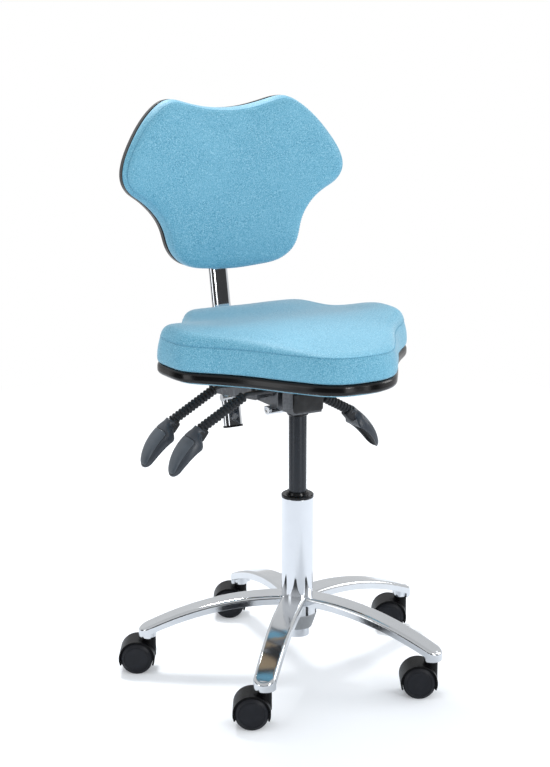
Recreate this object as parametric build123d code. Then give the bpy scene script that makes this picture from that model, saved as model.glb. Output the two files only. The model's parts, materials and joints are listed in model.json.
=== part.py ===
from build123d import *
import os
from math import cos, hypot, radians, sin, sqrt, tan

# Swivelling medical chair on a five-arm base. Millimetres, +Z up.
# The origin is on the floor under the column. The sitter faces -Y, and the sitter's left is +X.

# Fits
run_fit = 0.05
body_gap = 0.4

# Castors
castor_count = 5
wheel_r = 25.0
wheel_w = 20.0
wheel_bevel_r = 4.5
wheel_bevel_w = 3.4
wheel_groove_r = 19.0
wheel_groove = 0.7
web_half = 3.2
web_gap = 0.4
axle_r = 3.0
wheel_cap = 3.5
hood_gap = 0.7
hood_wall = 2.6
hood_lip_angle = 22.0
hood_r_tower = 10.5
castor_trail = 19.0
castor_top_z = 55.8
castor_flange_r = 9.5
castor_flange_t = 1.2
castor_stem_r = 5.5
castor_stem_rise = 13.0
castor_turn = -29.7

# Star base
stem_circle_r = 235.5
base_turn = 84.0
arm_end_r = 16.7
arm_root_half = 20.0
arm_root_r = 24.0
arm_bury = 6.0
arm_tip_over = 2.0
arm_end_z = 77.5
arm_root_z = 121.5
arm_arch = 13.0
arm_skirt = 14.0
arm_wall = 4.0
arm_top_wall = 4.5
arm_round = 5.0
arm_curtain_gap = 1.5
boss_r = 11.5
boss_gap = 0.1
hub_r = 31.0
hub_low_r = 23.5
hub_low_z = 66.0
hub_cone_z = 88.0

# Gas lift
tube_r = 25.0
tube_wall = 3.0
tube_foot_r = 19.5
tube_foot_z = 52.0
tube_taper_low_z = 66.0
tube_taper_top_z = 92.0
tube_top_z = 280.0
tube_floor = 5.0
ring_over = 0.5
ring_h = 5.0
ring_lip_h = 4.0
ring_lip_r = 18.5
ring_bevel = 1.3
ring_sleeve_h = 44.0
cyl_r = 14.0
cyl_low_z = 195.0
cyl_neck_r = 13.0
cyl_neck_h = 32.0
cyl_cap = 14.0
piston_r = 5.0
piston_gap = 0.6
piston_top_z = 262.0
clip_r = 9.0
clip_h = 3.0

# Tilt mechanism
housing_z = 420.0
housing_half = 25.0
housing_front_y = -30.0
housing_rear_y = 97.0
housing_wall = 3.0
housing_h = 33.0
housing_rear_h = 22.0
collar_h = 8.0
collar_r = 16.6
socket_wall = 5.0
cover_t = 6.0
cover_over = 1.0
cover_round = 5.0
cover_lift = 3.0
pin_r = 4.0
pin_over = 1.6
tilt_pin_y = 36.0
tilt_pin_rise = 27.0
back_pin_y = 85.0
back_pin_rise = 11.0
barrel_r = 8.5
barrel_y = 36.0
barrel_flat = 5.0
barrel_over = 10.0
barrel_ring = 1.2
plate_t = 3.0
plate_half = 72.0
plate_front_y = -80.0
plate_rear_y = 106.0
plate_corner = 16.0
plate_ear_t = 3.0
plate_ear_half = 10.0
plate_bolt_x = 58.0
plate_bolt_inset = 17.0

# Levers
lever_rod_r = 3.5
lever_eye_r = 6.0
lever_eye_w = 13.0
lever_ear_t = 3.0
lever_ear_side_gap = 0.5
lever_pin_r = 3.0
lever_pivot_out = 12.0
lever_slope = 29.0
lever_dip = 46.0
lever_bend_r = 12.0
sleeve_r = 7.8
sleeve_groove_r = 5.7
sleeve_pitch = 6.1
sleeve_bore_gap = 0.1
sleeve_end_gap = 3.0
right_ribs = 13
left_ribs = 8
front_lever_y = -20.0
rear_lever_y = 63.5
left_lever_y = 8.0
front_lever_z = 461.0
rear_lever_z = 455.0
left_lever_z = 434.0
front_lever_reach = 58.0
rear_lever_reach = 64.0
left_lever_reach = 4.0
handle_len = 82.0
handle_half = 22.5
handle_neck_half = 10.5
handle_t = 9.5
handle_skin = 3.2
handle_socket = 20.0
handle_start = 3.0

# Seat
seat_z = 486.0
trim_h = 17.0
trim_bulge = 1.2
trim_w = 9.7
trim_round = 6.0
seat_draw = 4.0
seat_wall_h = 45.0
seat_crown = 12.0
seat_round = 9.0
seat_bolt_r = 3.0
seat_bolt_head_r = 5.5
seat_bolt_head_h = 3.5
seat_bolt_bite = 9.0
# Right half of the seat's plan, from the front of the pommel to the middle of the rear edge.
seat_half = [
    (0, -197), (35, -193), (63, -175.5), (82.5, -150), (100, -125), (119, -95), (142, -64), (171, -33),
    (199, 1), (204.5, 42), (202, 74), (187, 96), (163, 110), (140, 127.5), (127, 148.5), (112.5, 177),
    (91, 199), (67, 213.5), (38, 216), (0, 210),
]
# Side profile of the seat's top, as (Y, rise over the wall's top).
seat_top = [
    (-240, -7), (-205, -1.5), (-150, 6), (-80, 11), (0, 11.5), (80, 8), (140, 11.5), (190, 9.5), (215, 2),
    (250, -8),
]

# Back
stem_lean = 11.0
stem_w = 33.0
stem_t = 14.0
stem_low_z = 346.0
stem_foot_y = 212.0
stem_cap_t = 3.0
stem_cap_over = 1.0
stop_bolt_rise = 15.0
stop_bolt_r = 5.0
stop_bolt_h = 3.0
stop_shank_r = 3.0
clamp_rise = 57.0
clamp_h = 26.0
clamp_wall = 9.0
bracket_arm_t = 4.0
bracket_eye_r = 11.0
clamp_bolt_r = 3.5
clamp_bolt_head_r = 6.0
clamp_bolt_head_h = 3.5
clamp_bolt_y = 190.0
clamp_bolt_z = 401.0
back_base_z = 591.5
back_lean = 3.5
back_stand_off = 13.7
mount_side = 8.0
mount_back = 5.0
mount_low_s = 34.0
mount_h = 84.0
mount_roof = 10.0
mount_flange = 14.0
mount_flange_t = 7.0
back_bolt_r = 3.0
back_bolt_head_r = 5.5
back_bolt_head_h = 3.5
back_bolt_inset = 10.0
back_bolt_bite = 9.0
shell_t = 11.0
shell_over = 0.5
shell_pad_t = 4.0
back_curve_r = 482.0
back_front_r = 1170.0
back_t = 40.0
back_crown = 5.0
back_rear_grow = 0.3
back_front_grow = 5.0
back_round = 11.0
# Right half of the back's outline, from the middle of the lower edge to the dip in the upper edge.
back_half = [
    (0, 15), (42, 17.5), (82, 25), (103.5, 41), (113, 58.5), (118.5, 77.5), (129, 99), (145, 117.5),
    (166, 134.5), (184.5, 147.5), (195, 166), (192, 189), (179, 214.5), (159.5, 242), (131, 270),
    (102, 283.5), (79, 280), (45, 272), (0, 268),
]

parts = {}


def turned(shape, angle):
    return Rot(0, 0, angle) * shape


def ring_points(half, grow):
    # Closed ring of points from its right half, moved outward along its normals by grow.
    left = [(-x, y) for x, y in reversed(half[1:-1])]
    ring = list(half) + left
    moved = []
    for i, (x, y) in enumerate(ring):
        ax, ay = ring[i - 1]
        bx, by = ring[(i + 1) % len(ring)]
        tx, ty = bx - ax, by - ay
        size = hypot(tx, ty)
        moved.append((x + grow * ty / size, y - grow * tx / size))
    return moved


def outline_face(half, grow, level):
    pts = [(x, y, level) for x, y in ring_points(half, grow)]
    return make_face(Spline(*pts, periodic=True))


def along(start, end, radius):
    # Cylinder of a radius from one point to another.
    d = Vector(*end) - Vector(*start)
    at = Plane(origin=start, z_dir=d)
    return at.location * Cylinder(radius, d.length, align=(Align.CENTER, Align.CENTER, Align.MIN))


def box_of(x0, x1, y0, y1, z0, z1):
    return Pos((x0 + x1) / 2, (y0 + y1) / 2, (z0 + z1) / 2) * Box(x1 - x0, y1 - y0, z1 - z0)


def standing(radius, z0, z1, x=0.0, y=0.0):
    return Pos(x, y, z0) * Cylinder(radius, z1 - z0, align=(Align.CENTER, Align.CENTER, Align.MIN))


def across(radius, x0, x1, y, z):
    return along((x0, y, z), (x1, y, z), radius)


def spun(points):
    # Solid of revolution about Z of a closed (radius, height) polygon.
    face = make_face(Polyline(*[(r, 0, z) for r, z in points], close=True))
    return revolve(face, Axis.Z)


# Star base: five arched arms with rounded ends, hollow below, round a hub.
def arm_top(r):
    # Height of an arm's top at a radius: a straight fall plus a parabolic arch.
    t = (r - arm_root_r) / (stem_circle_r - arm_root_r)
    return arm_root_z + (arm_end_z - arm_root_z) * t + 4 * arm_arch * t * (1 - t)


def arm_curve(drop, r0, r1):
    steps = 6
    rs = [r0 + (r1 - r0) * i / steps for i in range(steps + 1)]
    return [(r, 0, arm_top(r) - drop) for r in rs]


boss_low_z = castor_top_z + castor_flange_t + boss_gap
arm_in_r = arm_root_r - arm_bury
arm_out_r = stem_circle_r + arm_end_r + arm_tip_over
curtain_r = stem_circle_r - arm_curtain_gap
arm_over = 2 * arm_root_half
arm_room_z = arm_root_z + arm_over


def side_slab(top, low_points, half_width):
    edge = Spline(*top)
    rest = Polyline(*([top[-1]] + low_points + [top[0]]))
    return extrude(make_face([edge, rest]), half_width, dir=(0, 1, 0), both=True)


def plan_prism(root_half, end_r, root_r, end_at, low, high):
    corners = (root_r, -root_half), (root_r, root_half), (end_at, end_r), (end_at, -end_r)
    blunt = make_face(Polyline(*corners, close=True))
    tip = Pos(end_at, 0) * Circle(end_r)
    return Pos(0, 0, low) * extrude(blunt + tip, high - low)


arm_skirt_end_z = arm_top(curtain_r) - arm_skirt
outer_top = arm_curve(0, arm_in_r, arm_out_r)
outer_low = [(arm_out_r, 0, boss_low_z), (curtain_r, 0, boss_low_z), (curtain_r, 0, arm_skirt_end_z)]
skirt_low = [p for p in reversed(arm_curve(arm_skirt, arm_in_r, curtain_r))]
arm_profile = make_face([
    Spline(*outer_top), Polyline(outer_top[-1], *outer_low),
    Spline(*skirt_low), Line(skirt_low[-1], outer_top[0]),
])
arm_solid = extrude(arm_profile, arm_over, dir=(0, 1, 0), both=True)
arm_solid = arm_solid & plan_prism(arm_root_half, arm_end_r, arm_in_r, stem_circle_r, 0, arm_room_z)
top_edges = []
for e in arm_solid.edges():
    c = e.center()
    near_top = abs(c.Z - arm_top(hypot(c.X, c.Y))) < arm_top_wall
    if e.length > arm_end_r and near_top and c.X > arm_in_r + arm_wall:
        top_edges.append(e)
arm_solid = fillet(top_edges, arm_round)
pocket_end_r = curtain_r - boss_r - arm_wall
inner_top = arm_curve(arm_top_wall, arm_in_r, pocket_end_r)
arm_pocket = side_slab(inner_top, [(pocket_end_r, 0, 0), (arm_in_r, 0, 0)], arm_over)
pocket_half = arm_root_half - arm_wall
pocket_end_half = arm_end_r - arm_wall
pocket_round_r = pocket_end_r - arm_end_r
arm_pocket = arm_pocket & plan_prism(pocket_half, pocket_end_half, arm_in_r, pocket_round_r, 0, arm_room_z)
arm_solid = arm_solid - arm_pocket
arm_boss = standing(boss_r, boss_low_z, arm_top(stem_circle_r) - arm_top_wall, x=stem_circle_r)
socket_roof_z = boss_low_z + castor_stem_rise + boss_gap
castor_socket = standing(castor_stem_r + run_fit, boss_low_z - 1, socket_roof_z, x=stem_circle_r)
arm_solid = (arm_solid + arm_boss) - castor_socket

hub_top_z = arm_root_z
hub = spun([
    (0, hub_low_z), (hub_low_r, hub_low_z), (hub_r, hub_cone_z), (hub_r, hub_top_z - arm_round),
    (hub_r - arm_round / 2, hub_top_z), (0, hub_top_z),
])
tube_profile = [
    (0, tube_foot_z), (tube_foot_r, tube_foot_z), (tube_foot_r, tube_taper_low_z),
    (tube_r, tube_taper_top_z), (tube_r, tube_top_z), (0, tube_top_z),
]
tube_full = spun(tube_profile)
base = hub
for k in range(castor_count):
    base = base + turned(arm_solid, base_turn + 360.0 * k / castor_count)
base = base - tube_full
parts["star_base"] = base

# Gas lift: tube held in the hub, ring that guides the cylinder, piston rod clipped under the tube.
tube_in_r = tube_r - tube_wall
tube_in_low_r = tube_foot_r - tube_wall
tube_void = spun([
    (0, tube_foot_z + tube_floor), (tube_in_low_r, tube_foot_z + tube_floor),
    (tube_in_low_r, tube_taper_low_z), (tube_in_r, tube_taper_top_z), (tube_in_r, tube_top_z + 1),
    (0, tube_top_z + 1),
])
piston_hole = standing(piston_r, tube_foot_z - 1, tube_foot_z + tube_floor + 1)
parts["gas_tube"] = tube_full - tube_void - piston_hole

ring_bore = cyl_r + run_fit
ring_top_z = tube_top_z + ring_h
tube_ring = spun([
    (ring_bore, tube_top_z - ring_sleeve_h), (tube_in_r, tube_top_z - ring_sleeve_h), (tube_in_r, tube_top_z),
    (tube_r + ring_over, tube_top_z), (tube_r + ring_over, ring_top_z - ring_bevel),
    (tube_r + ring_over - ring_bevel, ring_top_z), (ring_lip_r, ring_top_z),
    (ring_lip_r - ring_bevel, ring_top_z + ring_lip_h), (ring_bore, ring_top_z + ring_lip_h),
])
parts["tube_ring"] = tube_ring

piston_rod = standing(piston_r, tube_foot_z - clip_h, piston_top_z)
parts["piston_rod"] = piston_rod + standing(clip_r, tube_foot_z - clip_h, tube_foot_z)

cyl_shoulder_z = housing_z
cyl_top_z = cyl_shoulder_z + cyl_neck_h
gas_cylinder = standing(cyl_r, cyl_low_z, cyl_shoulder_z) + standing(cyl_neck_r, cyl_shoulder_z, cyl_top_z)
gas_cylinder = gas_cylinder - standing(piston_r + piston_gap, cyl_low_z - 1, cyl_shoulder_z - cyl_cap)
parts["gas_cylinder"] = gas_cylinder

# Mechanism housing: open-topped channel with a socket for the gas cylinder and forks for the levers.
rod_collar = spun([
    (ring_bore, housing_z - collar_h), (collar_r - ring_bevel, housing_z - collar_h),
    (collar_r, housing_z - collar_h + ring_bevel), (collar_r, housing_z), (ring_bore, housing_z),
])
parts["rod_collar"] = rod_collar

floor_top_z = housing_z + housing_wall
side_top_z = housing_z + housing_h
rear_top_z = housing_z + housing_rear_h
tilt_pin_z = housing_z + tilt_pin_rise
back_pin_z = housing_z + back_pin_rise
side_profile = make_face(Polyline(
    (0, housing_front_y, housing_z), (0, housing_rear_y, housing_z), (0, housing_rear_y, rear_top_z),
    (0, tilt_pin_y + 3 * pin_r, side_top_z), (0, housing_front_y, side_top_z), close=True,
))
housing = extrude(side_profile, housing_half, dir=(1, 0, 0), both=True)
housing_in = housing_half - housing_wall
channel_y = housing_front_y + housing_wall
channel = box_of(-housing_in, housing_in, channel_y, housing_rear_y + 1, floor_top_z, side_top_z + 1)
housing = housing - channel
socket_r = cyl_neck_r + run_fit
housing = housing + standing(socket_r + socket_wall, housing_z, side_top_z)
housing = housing - standing(socket_r, housing_z - 1, side_top_z + 1)


def lever_fork(side, y, z):
    # Two ears on the housing's side, with a lug down to it, for a lever's eye and pin.
    near = housing_half - housing_wall
    out = housing_half + lever_pivot_out + lever_eye_r
    gap = lever_eye_w / 2 + lever_ear_side_gap
    low = min(housing_z + housing_rear_h / 2, z - lever_eye_r)
    ears = box_of(near, out, y + gap, y + gap + lever_ear_t, low, z + lever_eye_r)
    ears = ears + box_of(near, out, y - gap - lever_ear_t, y - gap, low, z + lever_eye_r)
    return ears if side > 0 else mirror(ears, Plane.YZ)


levers = {
    "lever_front": (-1, front_lever_y, front_lever_z, front_lever_reach, right_ribs),
    "lever_rear": (-1, rear_lever_y, rear_lever_z, rear_lever_reach, right_ribs),
    "lever_left": (1, left_lever_y, left_lever_z, left_lever_reach, left_ribs),
}
lever_pins = []
pin_half = lever_eye_w / 2 + lever_ear_side_gap + lever_ear_t
for side, y, z, reach, ribs in levers.values():
    housing = housing + lever_fork(side, y, z)
for side, y, z, reach, ribs in levers.values():
    px = side * (housing_half + lever_pivot_out)
    lever_pins.append(along((px, y - pin_half, z), (px, y + pin_half, z), lever_pin_r))
    housing = housing - lever_pins[-1]
tilt_pin_half = housing_half + body_gap + plate_ear_t + pin_over
back_pin_half = housing_half + body_gap + bracket_arm_t + pin_over
tilt_pin = across(pin_r, -tilt_pin_half, tilt_pin_half, tilt_pin_y, tilt_pin_z)
back_pin = across(pin_r, -back_pin_half, back_pin_half, back_pin_y, back_pin_z)
housing = housing - tilt_pin - back_pin
parts["mech_housing"] = housing
parts["lever_pins"] = Compound(children=lever_pins)
parts["tilt_pin"] = tilt_pin
parts["back_pin"] = back_pin

cover_half = housing_half + cover_over
cover_low_z = housing_z + cover_lift
cover = box_of(-cover_half, cover_half, housing_front_y - cover_t, housing_front_y, cover_low_z, side_top_z)
cover_edges = []
for e in cover.edges():
    c = e.center()
    if c.Y < housing_front_y - cover_t / 3 and c.Z < side_top_z - cover_t / 3:
        cover_edges.append(e)
cover = fillet(cover_edges, min(cover_round, 0.8 * cover_t))
parts["front_cover"] = cover

barrel_z = housing_z - barrel_r + barrel_flat
barrel_half = housing_half + barrel_over


def on_barrel(radius, x0, x1):
    return across(radius, x0, x1, barrel_y, barrel_z)


barrel = on_barrel(barrel_r, -barrel_half, barrel_half)
for s in (-1, 1):
    end = s * barrel_half
    step = s * barrel_ring
    groove = on_barrel(barrel_r + 1, end - 3 * step, end - 2 * step)
    core = on_barrel(barrel_r - barrel_ring, end - 4 * step, end)
    dish = on_barrel(barrel_r - 3 * barrel_ring, end - step, end + step)
    barrel = barrel - (groove - core) - dish
barrel_side = barrel_half + barrel_over
barrel_y0 = barrel_y - 2 * barrel_r
barrel_y1 = barrel_y + 2 * barrel_r
barrel = barrel - box_of(-barrel_side, barrel_side, barrel_y0, barrel_y1, housing_z, housing_z + 2 * barrel_r)
parts["spring_barrel"] = barrel

# Seat plate with two ears on the tilt pin.
plate_z = seat_z - plate_t
plate_mid_y = (plate_front_y + plate_rear_y) / 2
plate_long = plate_rear_y - plate_front_y
plate_face = Pos(0, plate_mid_y, plate_z) * RectangleRounded(2 * plate_half, plate_long, plate_corner)
seat_plate = extrude(plate_face, plate_t)
ear_in = housing_half + body_gap
ear_y0 = tilt_pin_y - plate_ear_half
ear_y1 = tilt_pin_y + plate_ear_half
for s in (-1, 1):
    x0 = ear_in if s > 0 else -ear_in - plate_ear_t
    ear = box_of(x0, x0 + plate_ear_t, ear_y0, ear_y1, tilt_pin_z, plate_z + plate_t / 2)
    ear = ear + across(plate_ear_half, x0, x0 + plate_ear_t, tilt_pin_y, tilt_pin_z)
    seat_plate = seat_plate + ear
tilt_bore_half = tilt_pin_half + pin_over
seat_plate = seat_plate - across(pin_r + run_fit, -tilt_bore_half, tilt_bore_half, tilt_pin_y, tilt_pin_z)
bolt_ys = (plate_front_y + plate_bolt_inset, plate_rear_y - plate_bolt_inset)
bolt_spots = [(s * plate_bolt_x, y) for s in (-1, 1) for y in bolt_ys]
seat_bolts = []
for x, y in bolt_spots:
    head = standing(seat_bolt_head_r, plate_z - seat_bolt_head_h, plate_z, x, y)
    shank = standing(seat_bolt_r, plate_z, seat_z + seat_bolt_bite, x, y)
    seat_bolts.append(head + shank)
    seat_plate = seat_plate - shank
parts["seat_plate"] = seat_plate
parts["seat_bolts"] = Compound(children=seat_bolts)

# Seat: board, rounded edging round it, and the cushion on both.
cushion_z = seat_z + trim_h
trim_in = trim_bulge - trim_w
board = extrude(outline_face(seat_half, trim_in, seat_z), trim_h)
for bolt in seat_bolts:
    board = board - bolt
parts["seat_board"] = board
trim = extrude(outline_face(seat_half, trim_bulge, seat_z), trim_h)
trim = fillet([e for e in trim.edges() if abs(e.center().Z - seat_z - trim_h / 2) > trim_h / 4], trim_round)
trim = trim - extrude(outline_face(seat_half, trim_in, seat_z - 1), trim_h + 2)
parts["seat_trim"] = trim

wall_top_z = cushion_z + seat_wall_h
high_z = wall_top_z + 2 * seat_crown
cushion = loft([
    outline_face(seat_half, -seat_draw, cushion_z),
    outline_face(seat_half, 0, cushion_z + seat_wall_h / 2),
    outline_face(seat_half, -seat_draw / 2, wall_top_z),
    outline_face(seat_half, -seat_draw, high_z),
])
seat_reach = max(x for x, y in seat_half) + 4 * seat_draw
top_line = [(0, y, wall_top_z + rise * seat_crown / 12.0) for y, rise in seat_top]
low_line = Polyline(top_line[-1], (0, seat_top[-1][0], seat_z), (0, seat_top[0][0], seat_z), top_line[0])
under_top = extrude(make_face([Spline(*top_line), low_line]), seat_reach, dir=(1, 0, 0), both=True)
cushion = cushion & under_top
rim = [e for e in cushion.edges() if e.center().Z > cushion_z + 0.8 * seat_wall_h and e.length > seat_round]
cushion = fillet(rim, seat_round)
parts["seat_cushion"] = cushion


# Levers: bent rod with an eye, ribbed rubber sleeve on its slope, hollow-backed paddle handle.
def ribbed_sleeve(ribs):
    # Along +X from 0, each rib a ruled loft through four circles.
    p = sleeve_pitch
    rings = []
    for i in range(ribs):
        for x, r in ((0.0, sleeve_groove_r), (0.2, sleeve_r), (0.6, sleeve_r), (0.8, sleeve_groove_r)):
            rings.append(Plane(origin=((i + x) * p, 0, 0), x_dir=(0, 1, 0), z_dir=(1, 0, 0)) * Circle(r))
    solid = loft(rings, ruled=True)
    length = (ribs - 0.2) * p
    return solid - across(lever_rod_r + sleeve_bore_gap, -1, length + 1, 0, 0)


def paddle():
    # Along +X from its neck, top towards +Z, hollow below.
    k = handle_half
    n = handle_neck_half
    el = handle_len
    half = [
        (0, n), (0.1 * el, n), (0.2 * el, 0.5 * (n + k)), (0.32 * el, 0.93 * k), (0.46 * el, k),
        (0.62 * el, 0.95 * k), (0.78 * el, 0.81 * k), (0.92 * el, 0.56 * k), (el, 0),
    ]
    right = [(x, -y) for x, y in reversed(half[:-1])]
    plan = make_face([Spline(*(half + right)), Line(right[-1], half[0])])
    t = handle_t
    far = 1.03 * el
    top = [
        (0, 0, t), (0.25 * el, 0, 1.15 * t), (0.55 * el, 0, 0.95 * t), (0.8 * el, 0, 0.3 * t),
        (far, 0, -0.8 * t),
    ]
    low = [
        (far, 0, -1.2 * t), (0.8 * el, 0, -0.8 * t), (0.55 * el, 0, -0.75 * t), (0.28 * el, 0, -1.15 * t),
        (0, 0, -0.9 * t),
    ]
    side = make_face([Spline(*top), Line(top[-1], low[0]), Spline(*low), Line(low[-1], top[0])])
    body = Pos(0, 0, -4 * t) * extrude(plan, 8 * t)
    body = body & extrude(side, 2 * k, dir=(0, 1, 0), both=True)
    rim = [e for e in body.edges() if e.length > 0.5 * el and e.center().Z > -0.3 * t]
    body = fillet(rim, 0.32 * t)
    skin = handle_skin
    cut_top = [(x, 0, z - skin) for x, y, z in top]
    cut_low = Polyline(cut_top[-1], (far, 0, -4 * t), (0, 0, -4 * t), cut_top[0])
    hollow = make_face([Spline(*cut_top), cut_low])
    hollow = extrude(hollow, 2 * k, dir=(0, 1, 0), both=True)
    x0 = handle_socket + skin
    inset = [(x, y - skin) for x, y in half if x > x0 + skin and y > 2 * skin]
    ring = inset + [(x, -y) for x, y in reversed(inset)]
    floor_plan = Pos(0, 0, -4 * t) * extrude(make_face(Polyline(*ring, close=True)), 8 * t)
    body = body - (hollow & floor_plan)
    return body - across(lever_rod_r, -1, handle_socket, 0, 0)


handle_shape = paddle()
slope = radians(lever_slope)
dip = radians(lever_dip)
for name, (side, y, z, reach, ribs) in levers.items():
    px = side * (housing_half + lever_pivot_out)
    sleeve_len = (ribs - 0.2) * sleeve_pitch
    bend_x = px + side * (lever_eye_r + reach)
    bend_run = lever_bend_r * tan(slope / 2)
    run = sleeve_len + bend_run + 2 * sleeve_end_gap
    end_x = bend_x + side * run * cos(slope)
    end_z = z - run * sin(slope)
    tip_x = end_x + side * (handle_start + handle_socket) * cos(dip)
    tip_z = end_z - (handle_start + handle_socket) * sin(dip)
    turns = (px, y, z), (bend_x, y, z), (end_x, y, end_z), (tip_x, y, tip_z)
    path = FilletPolyline(*turns, radius=[lever_bend_r, lever_bend_r / 2])
    section = Plane(origin=(px, y, z), z_dir=(side, 0, 0)) * Circle(lever_rod_r)
    rod = sweep(section, path=path)
    rod = rod + along((px, y - lever_eye_w / 2, z), (px, y + lever_eye_w / 2, z), lever_eye_r)
    rod = rod - along((px, y - lever_eye_w, z), (px, y + lever_eye_w, z), lever_pin_r + run_fit)
    parts[name + "_rod"] = rod
    s0 = bend_run + sleeve_end_gap
    start = (bend_x + side * s0 * cos(slope), y, z - s0 * sin(slope))
    sleeve_x = (side * cos(slope), 0, -sin(slope))
    sleeve_at = Plane(origin=start, x_dir=sleeve_x, z_dir=(side * sin(slope), 0, cos(slope)))
    parts[name + "_sleeve"] = sleeve_at.location * ribbed_sleeve(ribs)
    neck = (end_x + side * handle_start * cos(dip), y, end_z - handle_start * sin(dip))
    handle_x = (side * cos(dip), 0, -sin(dip))
    handle_at = Plane(origin=neck, x_dir=handle_x, z_dir=(side * sin(dip), 0, cos(dip)))
    parts[name + "_handle"] = handle_at.location * handle_shape

# Back stem: flat-oval bar leaning back, sliding in the bracket's clamp.
lean = radians(stem_lean)
rise_to_base = (back_base_z - stem_low_z) / cos(lean)
stem_len = rise_to_base + mount_low_s + mount_h - mount_roof
stem_at = Plane(origin=(0, stem_foot_y, stem_low_z), x_dir=(1, 0, 0), z_dir=(0, sin(lean), cos(lean)))


def stem_bar(grow, low, high):
    slot = SlotOverall(stem_w + 2 * grow, stem_t + 2 * grow)
    return stem_at.location * (Pos(0, 0, low) * extrude(slot, high - low))


def stem_box(x0, x1, y0, y1, z0, z1):
    # Box in the stem's own frame: X across, Y towards the rear, Z up the stem.
    return stem_at.location * box_of(x0, x1, y0, y1, z0, z1)


stem = stem_bar(0, 0, stem_len)
stop_axis_y = -stem_t / 2
stop_seat = (0, stop_axis_y, stop_bolt_rise)
stop_shank = stem_at.location * along(stop_seat, (0, 0, stop_bolt_rise), stop_shank_r)
stop_head = stem_at.location * along((0, stop_axis_y - stop_bolt_h, stop_bolt_rise), stop_seat, stop_bolt_r)
parts["back_stem"] = stem - stop_shank
parts["stem_stop_bolt"] = stop_head + stop_shank
parts["stem_end_cap"] = stem_bar(stem_cap_over, -stem_cap_t, 0)

# Back bracket: two arms from the back pin to a clamp round the stem.
clamp_half = housing_half + body_gap + bracket_arm_t
clamp_y0 = -stem_t / 2 - clamp_wall
clamp_y1 = stem_t / 2 + clamp_wall
clamp = stem_box(-clamp_half, clamp_half, clamp_y0, clamp_y1, clamp_rise, clamp_rise + clamp_h)
mid_low = stem_at.from_local_coords(Vector(0, 0, clamp_rise))
mid_high = stem_at.from_local_coords(Vector(0, 0, clamp_rise + clamp_h))
bracket = clamp
for s in (-1, 1):
    x0 = housing_half + body_gap if s > 0 else -clamp_half
    web = make_face(Polyline(
        (x0, back_pin_y, back_pin_z + bracket_eye_r), (x0, mid_high.Y, mid_high.Z),
        (x0, mid_low.Y, mid_low.Z), (x0, back_pin_y, back_pin_z - bracket_eye_r), close=True,
    ))
    arm = extrude(web, bracket_arm_t, dir=(1, 0, 0))
    bracket = bracket + arm + across(bracket_eye_r, x0, x0 + bracket_arm_t, back_pin_y, back_pin_z)
bracket = bracket - stem_bar(run_fit, clamp_rise - clamp_wall, clamp_rise + clamp_h + clamp_wall)
bracket = bracket - across(pin_r + run_fit, -back_pin_half - 1, back_pin_half + 1, back_pin_y, back_pin_z)
clamp_bolt = across(clamp_bolt_r, -clamp_half, clamp_half, clamp_bolt_y, clamp_bolt_z)
for s in (-1, 1):
    head_out = s * (clamp_half + clamp_bolt_head_h)
    clamp_bolt = clamp_bolt + across(clamp_bolt_head_r, s * clamp_half, head_out, clamp_bolt_y, clamp_bolt_z)
bracket = bracket - clamp_bolt
parts["back_bracket"] = bracket
parts["clamp_bolt"] = clamp_bolt

# Back rest frame: X across, Y up the back, Z forward, at the rear face of the cushion.
tip = radians(back_lean)
back_face_y = stem_t / 2 + back_stand_off + shell_t
base_on_stem = stem_at.from_local_coords(Vector(0, -back_face_y, rise_to_base))
back_at = Plane(origin=base_on_stem, x_dir=(1, 0, 0), z_dir=(0, -cos(tip), sin(tip)))
back_wide = max(x for x, y in back_half) + 4 * back_front_grow
back_high = max(y for x, y in back_half) + 4 * back_front_grow


def inside_curve(extra):
    # Room in front of the back's rear curve, moved to the rear by extra.
    spine = Plane(origin=(0, -back_high, back_curve_r), x_dir=(1, 0, 0), z_dir=(0, 1, 0))
    low = Align.CENTER, Align.CENTER, Align.MIN
    return spine.location * Cylinder(back_curve_r + extra, 3 * back_high, align=low)


front_sag = back_front_r - sqrt(back_front_r ** 2 - back_wide ** 2)


def front_section(y, z):
    # Level slice of the room behind the cushion's front: an arc across, and a flat rear.
    left, right = (-back_wide, y, z + front_sag), (back_wide, y, z + front_sag)
    arc = ThreePointArc(left, (0, y, z), right)
    rest = Polyline(right, (back_wide, y, -back_wide), (-back_wide, y, -back_wide), left)
    return make_face([arc, rest])


back_mid = max(y for x, y in back_half) / 2
behind_front = loft([
    front_section(back_mid - back_high, back_t - 4 * back_crown),
    front_section(back_mid, back_t),
    front_section(back_mid + back_high, back_t - 4 * back_crown),
])
back_far = back_t + front_sag + back_front_grow


def back_prism(grow):
    # Outline that swells towards the front, from behind the shell to in front of the wings.
    return loft([
        outline_face(back_half, grow + back_rear_grow, -2 * shell_t),
        outline_face(back_half, grow + back_front_grow, back_far),
    ], ruled=True)


back_cushion = back_prism(0) & behind_front & inside_curve(0)
front_rim = []
for e in back_cushion.edges():
    c = e.position_at(0.5)
    depth = back_curve_r - hypot(c.X, back_curve_r - c.Z)
    if e.length > back_wide and depth > back_t / 4:
        front_rim.append(e)
back_cushion = fillet(front_rim, back_round)
parts["back_cushion"] = back_at.location * back_cushion
shell = back_prism(shell_over) & (inside_curve(shell_t) - inside_curve(0))

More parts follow.
